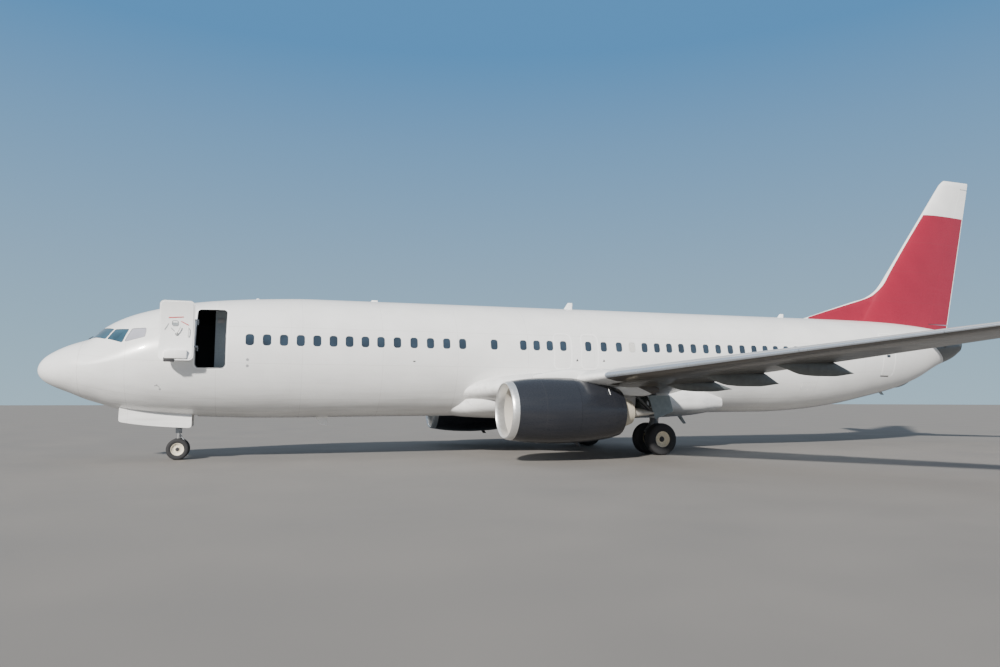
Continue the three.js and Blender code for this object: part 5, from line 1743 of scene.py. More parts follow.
class AIRLINER_OT_tail(bpy.types.Operator):
    """Builds the fin, rudder, stabilizers and elevators"""

    bl_idname = "airliner.tail"
    bl_label = "Tail"

    def execute(self, context):
        gap = context.scene.airliner_sizes.swing_gap
        blade = self.blade()
        whole = carve(blade, self.dorsal(), "UNION")
        (x0, z0), (x1, z1) = RUDDER_FOOT, RUDDER_HEAD
        behind = side_prism("behind", [(x0, z0), (FAR, z0), (FAR, z1), (x1, z1)], -WIDE, WIDE)
        zones = [box_mesh("zone", 0, FAR, -WIDE, WIDE, z0 + trim, z1 - trim) for trim in (0.0, RUDDER_END)]
        ends = (Vector(place(x0, 0, z0)), Vector(place(x1, 0, z1)))
        fin, rudder, pins = hinged(whole, ends, RUDDER_NOSES, behind, *zones, gap)
        stand_in("fin", "skin", borrow_normals(fin, whole), "fin_red")
        stand_in("rudder", "skin", borrow_normals(rudder, whole), "fin_red", body="rudder")
        finish_piece("rudder_pins", join("pins", pins), "steel", 35)
        for side, word in SIDES:
            plane = wing_solid("plane", STABILIZER, 0.0, side)
            fixed, moving, pins = hinged_panel(plane, STABILIZER, 0.0, side, ELEVATOR, gap)
            both = ("stabilizer", fixed, "airframe"), ("elevator", moving, f"elevator_{word}")
            for name, mesh, body in both:
                mesh = surface_mesh(mesh, plane, STABILIZER, 0.0)
                stand_in(f"{name}_{word}", "skin", mesh, "wing_grey", body=body)
            finish_piece(f"elevator_{word}_pins", join("pins", pins), "steel", 35)
        return {"FINISHED"}

    def blade(self):
        def section(height, front, back, thick):
            row = (0, front, back - front, 0, thick / (back - front), 0)
            return [(x, z, height) for x, _, z in airfoil(1, row, 0.0)]

        rings = []
        for a, b in zip(FIN, FIN[1:-1]):
            for t in np.linspace(0, 1, max(2, round((b[0] - a[0]) / 0.5)), endpoint=False):
                rings.append(section(*(p + (q - p) * t for p, q in zip(a, b))))
        before, top = FIN[-2:]
        for degrees in (0, 25, 50, 70, 83, 90):
            bend = math.radians(degrees)
            height, front, back, _ = (p + (q - p) * math.sin(bend) for p, q in zip(before, top))
            front, back = front + 0.10 * (1 - math.cos(bend)), back - 0.04 * (1 - math.cos(bend))
            rings.append(section(height, front, back, max(0.012, before[3] * math.cos(bend))))
        return loft("blade", rings)

    def dorsal(self):
        tops, halves = smooth_columns(DORSAL)
        rings = []
        for station in np.linspace(DORSAL[0][0], DORSAL[-1][0], 48):
            top, half = float(tops(station)), float(halves(station))
            foot = 5.2
            side = [
                (half * 1.25, 4.9),
                (half * 1.1, foot),
                (half * 0.8, foot + (top - foot) * 0.35),
                (half * 0.5, foot + (top - foot) * 0.75),
                (0.024, top - 0.015),
                (0.010, top - 0.002),
            ]
            rings.append([place(station, y, z) for y, z in side + [(-y, z) for y, z in reversed(side)]])
        return loft("dorsal", rings)


def engine_ring(name, side, *runs):
    """A ring of the engine, from smooth runs of station and radius that meet at sharp corners."""
    rows = []
    for run in runs:
        curve = smooth_run(run)
        rows += curve if not rows or math.dist(rows[-1], curve[0]) > 1e-6 else curve[1:]
    return turned(name, rows, place(0, side * ENGINE_SPAN, ENGINE_AXIS))


def off_axis(point):
    return math.hypot(abs(point.y) - ENGINE_SPAN, point.z - ENGINE_AXIS)


def drooped(mesh):
    """Bends the back of an engine a little downwards."""
    for vertex in mesh.vertices:
        vertex.co.z -= DROOP[1] * max(0.0, vertex.co.x - NOSE - DROOP[0])
    return mesh


def pylon_solid(side, grow=0.0):
    tops, bottoms, halves = smooth_columns(PYLON)
    rings = []
    for station in np.linspace(PYLON[0][0], PYLON[-1][0], 56):
        top, bottom, half = (float(rule(station)) for rule in (tops, bottoms, halves))
        top, bottom, half = top + grow, bottom - grow, half + grow
        middle, reach = (top + bottom) / 2, (top - bottom) / 2
        ring = []
        for a in full_turn(36):
            c, s = math.cos(a), math.sin(a)
            y, z = half * swollen(c, 0.6), reach * swollen(s, 0.75)
            ring.append(place(station, side * ENGINE_SPAN + y, middle + z))
        rings.append(ring)
    return loft("pylon", rings)


class AIRLINER_OT_engines(bpy.types.Operator):
    """Builds both engines with their cowls, fans and pylons"""

    bl_idname = "airliner.engines"
    bl_label = "Engines"

    def execute(self, context):
        sizes = context.scene.airliner_sizes
        for side, word in SIDES:
            self.cowls(side, word)
            self.hot_parts(side, word, sizes)
            self.fan(side, word, sizes)
            self.details(side, word)
        return {"FINISHED"}

    def cowls(self, side, word):
        lip = engine_ring("lip", side, LIP_FACE, LIP_BACK)
        stand_in(f"inlet_lip_{word}", "skin", lip, "lip_metal", 40)
        wide = wing_solid("wide", WING, WING_CAMBER, side, 0.02)
        slot = pylon_solid(side, 0.004)
        joint = [(13.621, 0.816), (13.531, 0.851)]
        cowl = cut(engine_ring("cowl", side, COWL_OUTER, COWL_INNER, joint), wide, slot)
        within, case_front, case_back = INLET
        mark_where(cowl, 1, lambda p, n: off_axis(p) < within and p.x - NOSE < case_front)
        mark_where(cowl, 2, lambda p, n: off_axis(p) < within and case_front < p.x - NOSE < case_back)
        mark_where(cowl, 3, lambda p, n: off_axis(p) < 0.86 and p.x - NOSE > case_back)
        finishes = ["cowl_paint", "inlet_pale", "seal_grey", "lining_grey"]
        stand_in(f"fan_cowl_{word}", "skin", cowl, finishes, 40)
        sleeve = engine_ring("sleeve", side, SLEEVE_OUTER, SLEEVE_INNER)
        sleeve = cut(drooped(sleeve), wide, slot)
        mark_where(sleeve, 1, lambda p, n: off_axis(p) < 0.88 and n.yz.dot(p.yz - AXES[side]) < 0)
        name = f"reverser_sleeve_{word}"
        stand_in(name, "skin", sleeve, ["cowl_paint", "lining_grey"], 40)
        name = f"pylon_{word}"
        stand_in(name, "skin", pylon_solid(side), "pylon_paint", 40)

    def hot_parts(self, side, word, sizes):
        centre = place(0, side * ENGINE_SPAN, ENGINE_AXIS)
        core = turned("core", [(14.93, 0.0), *smooth_run(CORE_SIDE), (17.15, 0.33), (17.08, 0.0)], centre)
        steps = []
        for x, r in ((16.95, 0.586), (17.06, 0.568)):
            rows = [(x, r), (x + 0.09, r - 0.012), (x + 0.09, r - 0.05), (x, r - 0.05)]
            steps.append(marked(turned("step", rows, centre), 1))
        section = ((-0.075, 0.0), (-0.03, 0.006), (0.06, 0.012), (0.075, 0.012), (0.0, -0.004))
        heights = ((0.40, 0.0), (0.60, 0.01), (0.80, 0.02))
        vane = loft("vane", [[(x, y + lean, radius) for x, y in section] for radius, lean in heights])
        turn = (2 * math.pi / sizes.guide_vanes, 0, 0)
        start = place(15.15, side * ENGINE_SPAN, ENGINE_AXIS)
        vanes = set_out("vanes", vane, sizes.guide_vanes, "steel", start, turn=turn)
        mark_where(core, 1, lambda p, n: p.x - NOSE > 16.6)
        mark_where(core, 3, lambda p, n: p.x - NOSE > 17.0 and n.x > 0.5)
        parts = drooped(join("core", [core, *steps, marked(vanes, 2)]))
        finishes = ["lining_grey", "core_cream", "steel", "seal"]
        stand_in(f"core_{word}", "skin", parts, finishes, 35)
        nozzle = drooped(engine_ring("nozzle", side, NOZZLE_OUTER, NOZZLE_INNER))
        stand_in(f"nozzle_{word}", "skin", nozzle, "core_cream", 40)
        plug = drooped(turned("plug", [(17.151, 0.0), *smooth_run(PLUG_SIDE)], centre))
        name = f"exhaust_plug_{word}"
        stand_in(name, "skin", plug, "plug_grey", 40)

    def fan(self, side, word, sizes):
        centre = place(0, side * ENGINE_SPAN, ENGINE_AXIS)
        rows = [*smooth_run(SPINNER_SIDE), (14.58, 0.255), (14.58, 0.058), (15.10, 0.058), (15.11, 0.0)]
        spinner = turned("spinner", rows, centre)
        rings = []
        for radius, chord, thick, pitch in BLADE_ROWS:
            turn = math.radians(90 - pitch)
            ring = []
            for a in full_turn(16):
                along = chord * math.cos(a)
                across = thick * math.sin(a) + 0.09 * chord * (1 - math.cos(a) ** 2)
                x = along * math.cos(turn) - across * math.sin(turn)
                ring.append((x, side * (along * math.sin(turn) + across * math.cos(turn)), radius))
            rings.append(ring)
        blade = loft("blade", rings)
        turn = (2 * math.pi / sizes.fan_blades, 0, 0)
        start = place(FAN_STATION, side * ENGINE_SPAN, ENGINE_AXIS)
        blades = set_out("blades", blade, sizes.fan_blades, "fan_titanium", start, turn=turn)
        fan = join("fan", [spinner, marked(blades, 1)])
        name, finishes = f"fan_{word}", ["spinner", "fan_titanium"]
        stand_in(name, "wheel", fan, finishes, 40, body=name)

    def details(self, side, word):
        """Chine, latches, a grip and the drain mast on the cowl."""
        parts, add = gathering()

        def on_cowl(station, degrees, radius):
            angle = math.radians(degrees)
            inboard, up = radius * math.cos(angle), radius * math.sin(angle)
            return place(station, side * (ENGINE_SPAN - inboard), ENGINE_AXIS + up)

        # The chine stands on the inboard shoulder
        outline = [(14.1, 0.95), (14.35, 1.04), (14.62, 1.15), (14.72, 1.15), (14.74, 0.98)]
        blade = [[on_cowl(x, 48 + lean, r) for x, r in outline] for lean in (-0.25, 0.25)]
        add(0, loft("chine", blade))
        for station in (14.05, 14.4, 14.75, 15.1, 15.35):
            low = ENGINE_AXIS - float(np.interp(station, *zip(*COWL_OUTER)))
            spans = (side * ENGINE_SPAN - 0.022, side * ENGINE_SPAN + 0.022)
            add(1, box_mesh("latch", station - 0.05, station + 0.05, *spans, low - 0.005, low + 0.02, 0.003))
        ends = [on_cowl(16.5, degrees, 0.905) for degrees in (135, 149)]
        add(2, rod("grip", *ends, 0.009))
        mast = [(15.62, 15.77, 0.60, 0.014), (15.72, 15.87, 0.47, 0.012)]
        add(0, thin_blade("mast", mast, side * ENGINE_SPAN))
        names = ["cowl_paint", "steel", "door_white"]
        finish_piece(f"cowl_fittings_{word}", join("fittings", parts), names, 35)


class AIRLINER_OT_belly(bpy.types.Operator):
    """Builds the belly fairing with its open wheel wells"""

    bl_idname = "airliner.belly"
    bl_label = "Belly"

    def execute(self, context):
        bottoms, tops, halves = smooth_columns(BELLY)
        rings = []
        for station in np.linspace(BELLY[0][0], BELLY[-1][0], 60):
            bottom, top, half = float(bottoms(station)), float(tops(station)), float(halves(station))
            middle = bottom + (top - bottom) * 0.45
            ring = []
            for a in full_turn(96):
                c, s = math.cos(a), math.sin(a)
                reach = top - middle if s > 0 else middle - bottom
                y, z = swollen(c, BELLY_POWER), swollen(s, BELLY_POWER)
                ring.append(place(station, half * y, middle + reach * z))
            rings.append(ring)
        clean = loft("belly", rings)
        belly = carve(clean, wheel_wells(WELL[6]))
        station, span, radius, *_, slot, _ = WELL

        def in_well(p, n):
            along, out = abs(p.x - NOSE - station), abs(p.y)
            in_round = along < radius + 0.005 and out < span + radius + 0.005
            in_slot = along < slot + 0.005 and (abs(n.x) > 0.9 or p.z > 2.5)
            return in_slot or in_round and (abs(n.z) < 0.35 or n.z < -0.9 and p.z > 1.9)

        mark_where(belly, 1, in_well)
        belly = borrow_normals(belly, clean)
        finishes = ["fuselage_white", "bay_primer"]
        finish_piece("belly_skin", belly, finishes, replaces=["belly_fairing"])
        return {"FINISHED"}


WHEEL_FINISHES = ["wheel_cream", "steel", "seal"]


def tyre_mesh(size, centre, grooves):
    """A tyre with grooves round its tread, from the bead out over the tread and back inside."""
    radius, half, bead = size
    tall = radius - bead
    wall = [
        (0.72 * half, bead),
        (0.9 * half, bead + 0.14 * tall),
        (half, bead + 0.45 * tall),
        (0.95 * half, bead + 0.75 * tall),
        (0.8 * half, radius * 0.963),
        (0.62 * half, radius * 0.988),
        (0.46 * half, radius),
    ]
    side_run = smooth_run(wall, 4)
    depth, wide = radius * 0.016, half * 0.03
    tread = []
    for g in sorted(grooves, reverse=True):
        x = g * half
        groove = ((wide, 0), (wide * 0.7, depth), (-wide * 0.7, depth), (-wide, 0))
        tread += [(x + shift, radius - down) for shift, down in groove]
    rows = side_run + tread + [(-o, r) for o, r in reversed(side_run)]
    rows += [(-0.6 * half, bead - 0.002), (0.6 * half, bead - 0.002)]
    return turned("tyre", rows, centre, "Y", 96)


def twin_wheels(size, twin, axle, centre, sizes):
    """Two wheels on their axle, with holes and bolts in their outer faces."""
    _, h, bead = size
    outer = [
        # offset outwards from the tyre's middle in half widths, radius
        (0.56, 0.0),
        (0.56, axle * 0.8),
        (0.50, axle * 0.95),
        (0.48, axle + 0.3 * (bead - axle) * 0.5),
        (0.24, axle + 0.3 * (bead - axle)),
        (0.27, 0.62 * bead),
        (0.33, 0.79 * bead),
        (0.58, bead - 0.022),
        (0.76, bead - 0.008),
        (0.79, bead + 0.004),
        (0.72, bead + 0.002),
        (0.58, bead - 0.010),
        (-0.58, bead - 0.010),
        (-0.72, bead + 0.002),
        (-0.79, bead + 0.004),
        (-0.76, bead - 0.008),
        (-0.58, bead - 0.022),
        (-0.12, 0.80 * bead),
        (-0.05, 0.62 * bead),
        (-0.05, axle + 0.02),
        (-0.5, axle + 0.01),
        (-0.55, axle),
    ]
    rows = [(-twin - o * h, r) for o, r in outer]
    rows += [(-o, r) for o, r in reversed(rows)]
    wheels = turned("wheels", rows, centre, "Y", 96)
    middle = Vector(centre)
    web, ring = 0.52 * bead + 0.3 * axle, 0.74 * bead
    holes, bolts, caps = [], [], []
    for way in (-1, 1):
        for i in range(sizes.hub_holes):
            angle = 2 * math.pi * i / sizes.hub_holes
            spot = middle + Vector((web * math.cos(angle), 0, web * math.sin(angle)))
            inwards, outwards = way * (twin + 0.08 * h), way * (twin + 0.7 * h)
            ends = [spot + Vector((0, y, 0)) for y in (inwards, outwards)]
            holes.append(rod("hole", *ends, bead * 0.085, sides=20, edge=0.0))
        ends = [(ring, way * (twin + o * h), 0) for o in (0.2, 0.42)]
        bolt = rod("bolt", *ends, bead * 0.03, sides=6)
        turn = (0, 2 * math.pi / sizes.hub_bolts, 0)
        bolts.append(set_out("bolts", bolt, sizes.hub_bolts, "steel", centre, turn=turn))
        cap = [middle + Vector((0, way * (twin + o * h), 0)) for o in (0.5, 0.62)]
        caps.append(rod("cap", *cap, axle * 0.72, axle * 0.6, sides=32))
    wheels = cut(wheels, *holes)
    # The hub's centre round the axle is coloured near black: partly the dark axle parts, partly painted shade
    # in the deep dish
    seal = axle + 0.16 * (bead - axle)
    mark_where(wheels, 2, lambda p, n: math.hypot(p.x - middle.x, p.z - middle.z) < seal)
    fittings = [marked(mesh, 1) for mesh in bolts] + [marked(mesh, 2) for mesh in caps]
    return join("wheels", [wheels, *fittings])


class AIRLINER_OT_main_gear(bpy.types.Operator):
    """Builds the main landing gear with its wheels and leg doors"""

    bl_idname = "airliner.main_gear"
    bl_label = "Main gear"

    def execute(self, context):
        sizes = context.scene.airliner_sizes
        x, track, twin, head = MAIN_GEAR
        radius = MAIN_TYRE[0]
        for side, word in SIDES:
            y = side * track
            centre = place(x, y, radius)
            body = f"main_wheels_{word}"
            wheels = twin_wheels(MAIN_TYRE, twin, MAIN_AXLE, centre, sizes)
            name = f"main_wheel_hubs_{word}"
            stand_in(name, "pair", wheels, WHEEL_FINISHES, 30, body=body)
            for way, where in ((-1, "inner"), (1, "outer")):
                centre = place(x, y + side * way * twin, radius)
                tyre = tyre_mesh(MAIN_TYRE, centre, (-0.36, -0.12, 0.12, 0.36))
                name = f"main_tyre_{word}_{where}"
                stand_in(name, "rubber", tyre, "tyre_rubber", 30, body=body)
            self.leg(side, word, x, y, radius, head)
            self.door(side, word, x, y)
        return {"FINISHED"}

    def leg(self, side, word, x, y, z, head):
        parts, add = gathering()
        top, collar = head - 0.02, MAIN_COLLAR
        add(0, column("post", (x, y, collar - 0.03), (x, y, top), MAIN_POST))
        add(1, bar("piston", (x, y, z + 0.1), (x, y, collar), 0.086, sides=40))
        box = [(0, 0.07), (0.06, 0.098), (0.5, 0.11), (0.85, 0.11), (1, 0.092)]
        add(0, column("foot", (x, y, z - 0.1), (x, y, z + 0.15), box))
        for way in (-1, 1):
            hub = [(0, 0.10), (0.2, 0.10), (0.3, 0.086), (1, 0.086)]
            tube = column("tube", (x, y + way * 0.06, z), (x, y + way * 0.20, z), hub)
            bore = bar("bore", (x, y + way * 0.05, z), (x, y + way * 0.25, z), 0.072, edge=0.0)
            add(0, carve(tube, bore))
            brake = column("brake", (x, y + way * 0.205, z), (x, y + way * 0.34, z), BRAKE, 48)
            bore = bar("bore", (x, y + way * 0.19, z), (x, y + way * 0.36, z), 0.085, edge=0.0)
            add(2, carve(brake, bore))
        # Torsion links: two tapered arms that meet ahead of the piston
        knee = (x - 0.33, (collar + z) / 2 + 0.005)
        for root_x, root_z in ((x - 0.11, collar + 0.02), (x - 0.08, z + 0.06)):
            for way in (-1, 1):
                ends = place(root_x, y + way * 0.075, root_z), place(knee[0], y + way * 0.02, knee[1])
                add(0, rod("link", *ends, 0.03, 0.02, sides=16))
            add(0, bar("web", (root_x, y - 0.09, root_z), (root_x, y + 0.09, root_z), 0.034, sides=20))
        add(3, bar("pin", (knee[0], y - 0.06, knee[1]), (knee[0], y + 0.06, knee[1]), 0.022, sides=16))
        # Side brace to the fuselage, drag arm, and the actuator beside them
        add(0, column("brace", (x, y - side * 0.06, 1.38), (x - 0.04, side * 1.33, 2.13), MAIN_BRACE))
        drag = [(0, 0.045), (0.1, 0.052), (0.9, 0.052), (1, 0.04)]
        add(0, column("drag", (x - 0.06, y, 1.5), (x - 0.7, y - side * 0.06, 2.12), drag))
        add(1, bar("ram", (x + 0.1, y - side * 0.1, 1.62), (x + 0.16, y - side * 0.8, 2.05), 0.025))
        add(0, bar("ram_body", (x + 0.13, y - side * 0.45, 1.83), (x + 0.17, y - side * 0.95, 2.14), 0.048))
        # Brake lines down the back of the leg
        for shift in (-0.05, 0.0, 0.05):
            route = []
            for i, (back, h) in enumerate(BRAKE_LINE):
                route.append(place(x + back, y + shift + 0.03 * i * side * (i > 3), h))
            add(2, hose("line", route, 0.009))
        for h in (1.28, 1.62, 1.9):
            add(3, column("clamp", (x, y, h), (x, y, h + 0.035), CLAMP))
        finishes = ["gear_painted_shade", "chrome", "seal", "steel"]
        name = f"main_gear_leg_{word}"
        stand_in(name, "strut", join("leg", parts), finishes, 35)

    def door(self, side, word, x, y):
        corners = [(x - 0.29, 2.05), (x + 0.55, 2.05), (x + 0.70, 1.49), (x - 0.03, 1.22)]
        outline = rounded_polygon(corners, 0.05)
        skin = sorted((y + side * 0.163, y + side * 0.185))
        parts, add = gathering()
        add(0, side_prism("skin", outline, *skin))
        frame_run = sorted((y + side * 0.150, y + side * 0.163))
        inner = rounded_polygon(corners, 0.04, -0.04)
        add(1, side_prism("stiffener", inner, *frame_run))
        for h in (1.42, 1.86):
            link = sorted((y + side * 0.12, y + side * 0.16))
            add(1, box_mesh("link", x - 0.06, x + 0.06, *link, h - 0.03, h + 0.03, 0.008))
        name = f"main_gear_door_{word}"
        stand_in(name, "panel", join("door", parts), ["gear_door_painted_shade", "gear_painted_shade"], 35)


class AIRLINER_OT_nose_gear(bpy.types.Operator):
    """Builds the nose landing gear with its steered wheels and bay doors"""

    bl_idname = "airliner.nose_gear"
    bl_label = "Nose gear"

    def execute(self, context):
        sizes = context.scene.airliner_sizes
        x, twin, head = NOSE_GEAR
        z = NOSE_TYRE[0]
        wheels = twin_wheels(NOSE_TYRE, twin, NOSE_AXLE, place(x, 0, z), sizes)
        stand_in("nose_wheel_hubs", "pair", wheels, WHEEL_FINISHES, 30, body="nose_wheels")
        for side, word in SIDES:
            tyre = tyre_mesh(NOSE_TYRE, place(x, side * twin, z), (-0.28, 0.0, 0.28))
            name = f"nose_tyre_{word}"
            stand_in(name, "rubber", tyre, "tyre_rubber", 30, body="nose_wheels")
            self.door(side, word)
        self.leg(x, head)
        self.fork(x, z)
        return {"FINISHED"}

    def leg(self, x, head):
        parts, add = gathering()
        collar = NOSE_COLLAR
        shell = column("post", (x, 0, collar), (x, 0, head), NOSE_POST)
        add(0, carve(shell, bar("bore", (x, 0, collar - 0.05), (x, 0, collar + 0.2), 0.066, edge=0.0)))
        for side, _ in SIDES:
            add(0, column("brace", (x - 0.06, side * 0.12, 1.35), (x - 0.9, side * 0.17, 2.1), NOSE_BRACE))
            act = place(x - 0.07, side * 0.125, 1.06), place(x + 0.10, side * 0.125, 1.06)
            add(1, rod("steer", *act, 0.026, sides=20))
            add(0, bar("steer_body", (x - 0.13, side * 0.125, 1.06), (x + 0.02, side * 0.125, 1.06), 0.036))
            lamp = place(x - 0.16, side * 0.10, 1.22), place(x - 0.11, side * 0.10, 1.22)
            add(0, rod("lamp_case", *lamp, 0.045, 0.05))
            add(3, bar("lamp", (x - 0.163, side * 0.10, 1.22), (x - 0.155, side * 0.10, 1.22), 0.04))
        add(0, bar("bar", (x - 0.02, -0.19, 1.35), (x - 0.02, 0.19, 1.35), 0.044))
        for shift in (-0.03, 0.03):
            route = [(0.02, 2.0), (0.105, 1.85), (0.108, 1.2), (0.12, 1.06), (0.10, 0.98)]
            add(2, hose("line", [place(x + dx, shift, h) for dx, h in route], 0.008))
        finishes = ["gear_paint", "chrome", "seal", "lamp_clear"]
        stand_in("nose_gear_leg", "strut", join("leg", parts), finishes, 35)

    def fork(self, x, z):
        parts, add = gathering()
        collar = NOSE_COLLAR
        add(1, bar("piston", (x, 0, z + 0.05), (x, 0, collar + 0.14), 0.058, sides=32))
        foot = [(0, 0.05), (0.08, 0.068), (0.7, 0.072), (1, 0.064)]
        add(0, column("foot", (x, 0, z - 0.06), (x, 0, z + 0.13), foot))
        hub = [(0, 0.054), (0.05, 0.06), (0.95, 0.06), (1, 0.054)]
        tube = column("tube", (x, -0.1, z), (x, 0.1, z), hub)
        add(0, carve(tube, bar("bore", (x, -0.2, z), (x, 0.2, z), 0.0435, edge=0.0)))
        tip_x, tip_z = x + 0.21, z + 0.205
        for root_x, root_z in ((x + 0.06, z + 0.04), (x + 0.055, collar - 0.06)):
            for way in (-1, 1):
                ends = place(root_x, way * 0.04, root_z), place(tip_x, way * 0.012, tip_z)
                add(0, rod("link", *ends, 0.018, 0.013, sides=16))
            add(0, bar("web", (root_x, -0.05, root_z), (root_x, 0.05, root_z), 0.022, sides=16))
        add(3, bar("pin", (tip_x, -0.035, tip_z), (tip_x, 0.035, tip_z), 0.015, sides=16))
        add(0, box_mesh("lug", x - 0.155, x - 0.05, -0.03, 0.03, z - 0.035, z + 0.035, 0.012))
        add(3, bar("tow_pin", (x - 0.13, -0.045, z), (x - 0.13, 0.045, z), 0.016, sides=16))
        fork, finishes = join("fork", parts), ["gear_paint", "chrome", "seal", "steel"]
        stand_in("nose_gear_fork", "strut", fork, finishes, 35, body="nose_steering")

    def door(self, side, word):
        front, back, out, thick, drop, splay = BAY_DOOR
        stations = [*np.linspace(front, back, 20)]
        for edge in (0.004, 0.012, 0.024, 0.04, 0.06, 0.09):
            stations += [front + edge, back - edge]
        rings = []
        for station in sorted(stations):
            keel = skin_row(station)[1]
            ends = min(1, (station - front) / 0.06, (back - station) / 0.12)
            rounded = 0.07 * (1 - math.sqrt(1 - (1 - ends) ** 2))
            foot, top = keel - drop + rounded, keel + 0.13
            ring = []
            for t, depth in ((0, 0), (0.5, 0), (1, 0), (1, 1), (0.5, 1), (0, 1)):
                z = top + (foot - top) * t
                bow = 0.018 * math.sin(math.pi * t)
                ring.append(place(station, side * (out + splay * t + bow + thick * depth), z))
            rings.append(ring)
        panel = carve(loft("panel", rings), fuselage_solid("skin", 1.3, 7.2, -0.0006))
        parts, add = gathering()
        add(0, panel)
        for station in (2.8, 3.35, 3.9):
            keel = skin_row(station)[1]
            spans = sorted((side * (out - 0.02), side * (out + 0.03)))
            rib = box_mesh("rib", station - 0.02, station + 0.02, *spans, keel - 0.20, keel - 0.02, 0.006)
            add(1, rib)
        name = f"nose_gear_door_{word}"
        stand_in(name, "panel", join("door", parts), ["fuselage_white", "gear_paint"], 35)


def crown_point(station, y):
    """The point of the upper skin over one span."""
    _, _, half, level, fullness = skin_row(station)
    reach = skin_row(station)[0] - level
    return Vector(place(station, y, level + reach * (1 - (abs(y) / half) ** fullness) ** (1 / fullness)))


class AIRLINER_OT_fittings(bpy.types.Operator):
    """Adds antennas, masts, probes, wipers, lamps, exit bands, small marks and static wicks"""

    bl_idname = "airliner.fittings"
    bl_label = "Fittings"

    def execute(self, context):
        self.antennas()
        self.probes()
        self.bands()
        self.marks()
        self.lamps()
        self.wicks()
        return {"FINISHED"}

    def antennas(self):
        blades = [
            # front and back at the foot, foot height, front and back at the tip, tip height, half thickness
            (17.42, 17.80, 5.33, 17.62, 17.82, 5.64, 0.016),
            (27.43, 27.80, 5.38, 27.62, 27.82, 5.60, 0.016),
            (8.22, 8.62, 1.33, 8.42, 8.66, 1.05, 0.016),
            (10.0, 10.28, 5.29, 10.08, 10.28, 5.40, 0.012),
            (22.26, 22.50, 1.42, 22.64, 22.80, 0.95, 0.022),
            (32.76, 33.02, 2.37, 33.02, 33.22, 2.14, 0.016),
        ]
        parts, add = gathering()
        for f0, b0, z0, f1, b1, z1, half in blades:
            step = (z1 - z0) * 0.06
            rows = [(f0, b0, z0, half), (f1, b1, z1 - step, half * 0.8)]
            rows.append((f1 + 0.03, b1 - 0.01, z1, half * 0.3))
            # Painted shade: the drain mast and the blade low under the tail are dark blue-grey for the
            # belly's shade they stand in
            add(int(f0 > 20 and z0 < 3), thin_blade("blade", rows))
        crown = skin_row(6.27)[0]
        bump = [(0.0, 0.075), (0.45, 0.068), (0.8, 0.045), (1.0, 0.012)]
        parts.append(column("bump", (6.27, 0, crown - 0.01), (6.27, 0, crown + 0.045), bump))
        finish_piece("antennas", join("antennas", parts), ["door_white", "lining_grey"], 35)
        skid = []
        for station in np.linspace(33.78, 34.82, 15):
            keel = skin_row(station)[1]
            deep = 0.085 * math.sin(math.pi * (station - 33.78) / 1.04) ** 0.6
            half = [(0.05, 0.08), (0.05, -deep * 0.6), (0.03, -deep)]
            ring = [(-0.05, 0.08), *half, (-0.03, -deep), (-0.05, -deep * 0.6)]
            skid.append([place(station, y, keel + z) for y, z in ring])
        finish_piece("tail_skid", loft("skid", skid), "lining_grey", 35)

    def probes(self):
        parts = []
        for side, _ in SIDES:
            foot, out = skin_point(3.47, 2.34, side)
            ahead = Vector((-0.06, 0, 0))
            path = [foot - out * 0.01, foot + out * 0.055]
            path += [foot + out * 0.075 + ahead * 0.2, foot + out * 0.08 + ahead]
            parts.append(hose("probe", path, 0.008))
            path = [crown_point(1.34, side * 0.06), crown_point(1.50, side * 0.30)]
            ends = [p + Vector((-0.012, 0, 0.025)) for p in path]
            parts.append(rod("wiper", *ends, 0.011))
        finish_piece("probes", join("probes", parts), "seal", 35)

    def bands(self):
        frames = []
        for side, front, back, bottom, top, radius in (*OUTLINES[:7], (-1, *DOORWAY)):
            box = rectangle(front, back, bottom, top)
            outer = rounded_polygon(box, radius + 0.05, 0.05, steps=8)
            inner = rounded_polygon(box, radius + 0.004, 0.004, steps=8)
            frames.append(side_frame("band", outer, inner, *out_through(side)))
        bands = inlay("bands", join("bands", frames), -0.001, 0.001, 4.0, 33.0)
        finish_piece("exit_bands", bands, "door_white", 30)

    def patches(self, name, outlines, finish, slot):
        """Thin patches on the skin, from outlines of station and height with the side they lie on."""
        prisms = [side_prism("patch", outline, *out_through(side)) for side, outline in outlines]
        skin = inlay(name, join(name, prisms), -0.0015, 0.001, 3.0, 37.6)
        finish_piece(name, skin, finish, 30)

    def marks(self):
        def round_patch(x, z, wide, tall):
            angles = full_turn(20)
            return [(x + wide * math.cos(a), z + tall * math.sin(a)) for a in angles]

        dark, panes, ports = [], [], []
        for side, _ in SIDES:
            dark += [(side, [(x - 0.05, 3.27), (x + 0.05, 3.27), (x, 3.36)]) for x in (17.14, 18.20)]
            dark += [(side, rectangle(x, x + 0.07, z, z + 0.04)) for x, z in ((16.05, 2.78), (16.62, 2.86))]
            # Painted shade: a dark strip along the bottom edge of the aft door
            dark.append((side, rectangle(31.60, 32.16, 2.90, 2.95)))
            dark.append((side, round_patch(36.25, 4.34, 0.09, 0.035)))
            dark.append((side, rectangle(11.19, 11.27, 3.14, 3.18)))
            panes.append((side, rounded_polygon(rectangle(31.84, 32.08, 3.72, 3.83), 0.05)))
            ports += [(side, round_patch(6.02, z, 0.045, 0.045)) for z in (2.93, 3.12)]
        panes.append((1, rounded_polygon(rectangle(4.93, 5.07, 3.80, 3.97), 0.06)))
        self.patches("dark_marks", dark, "seal", "dark_metal")
        # The door windows take the dark pane finish, painted shade for the space behind
        self.patches("door_panes", panes, "pane", "glazing")
        self.patches("static_ports", ports, "seal_grey", "bare_metal")

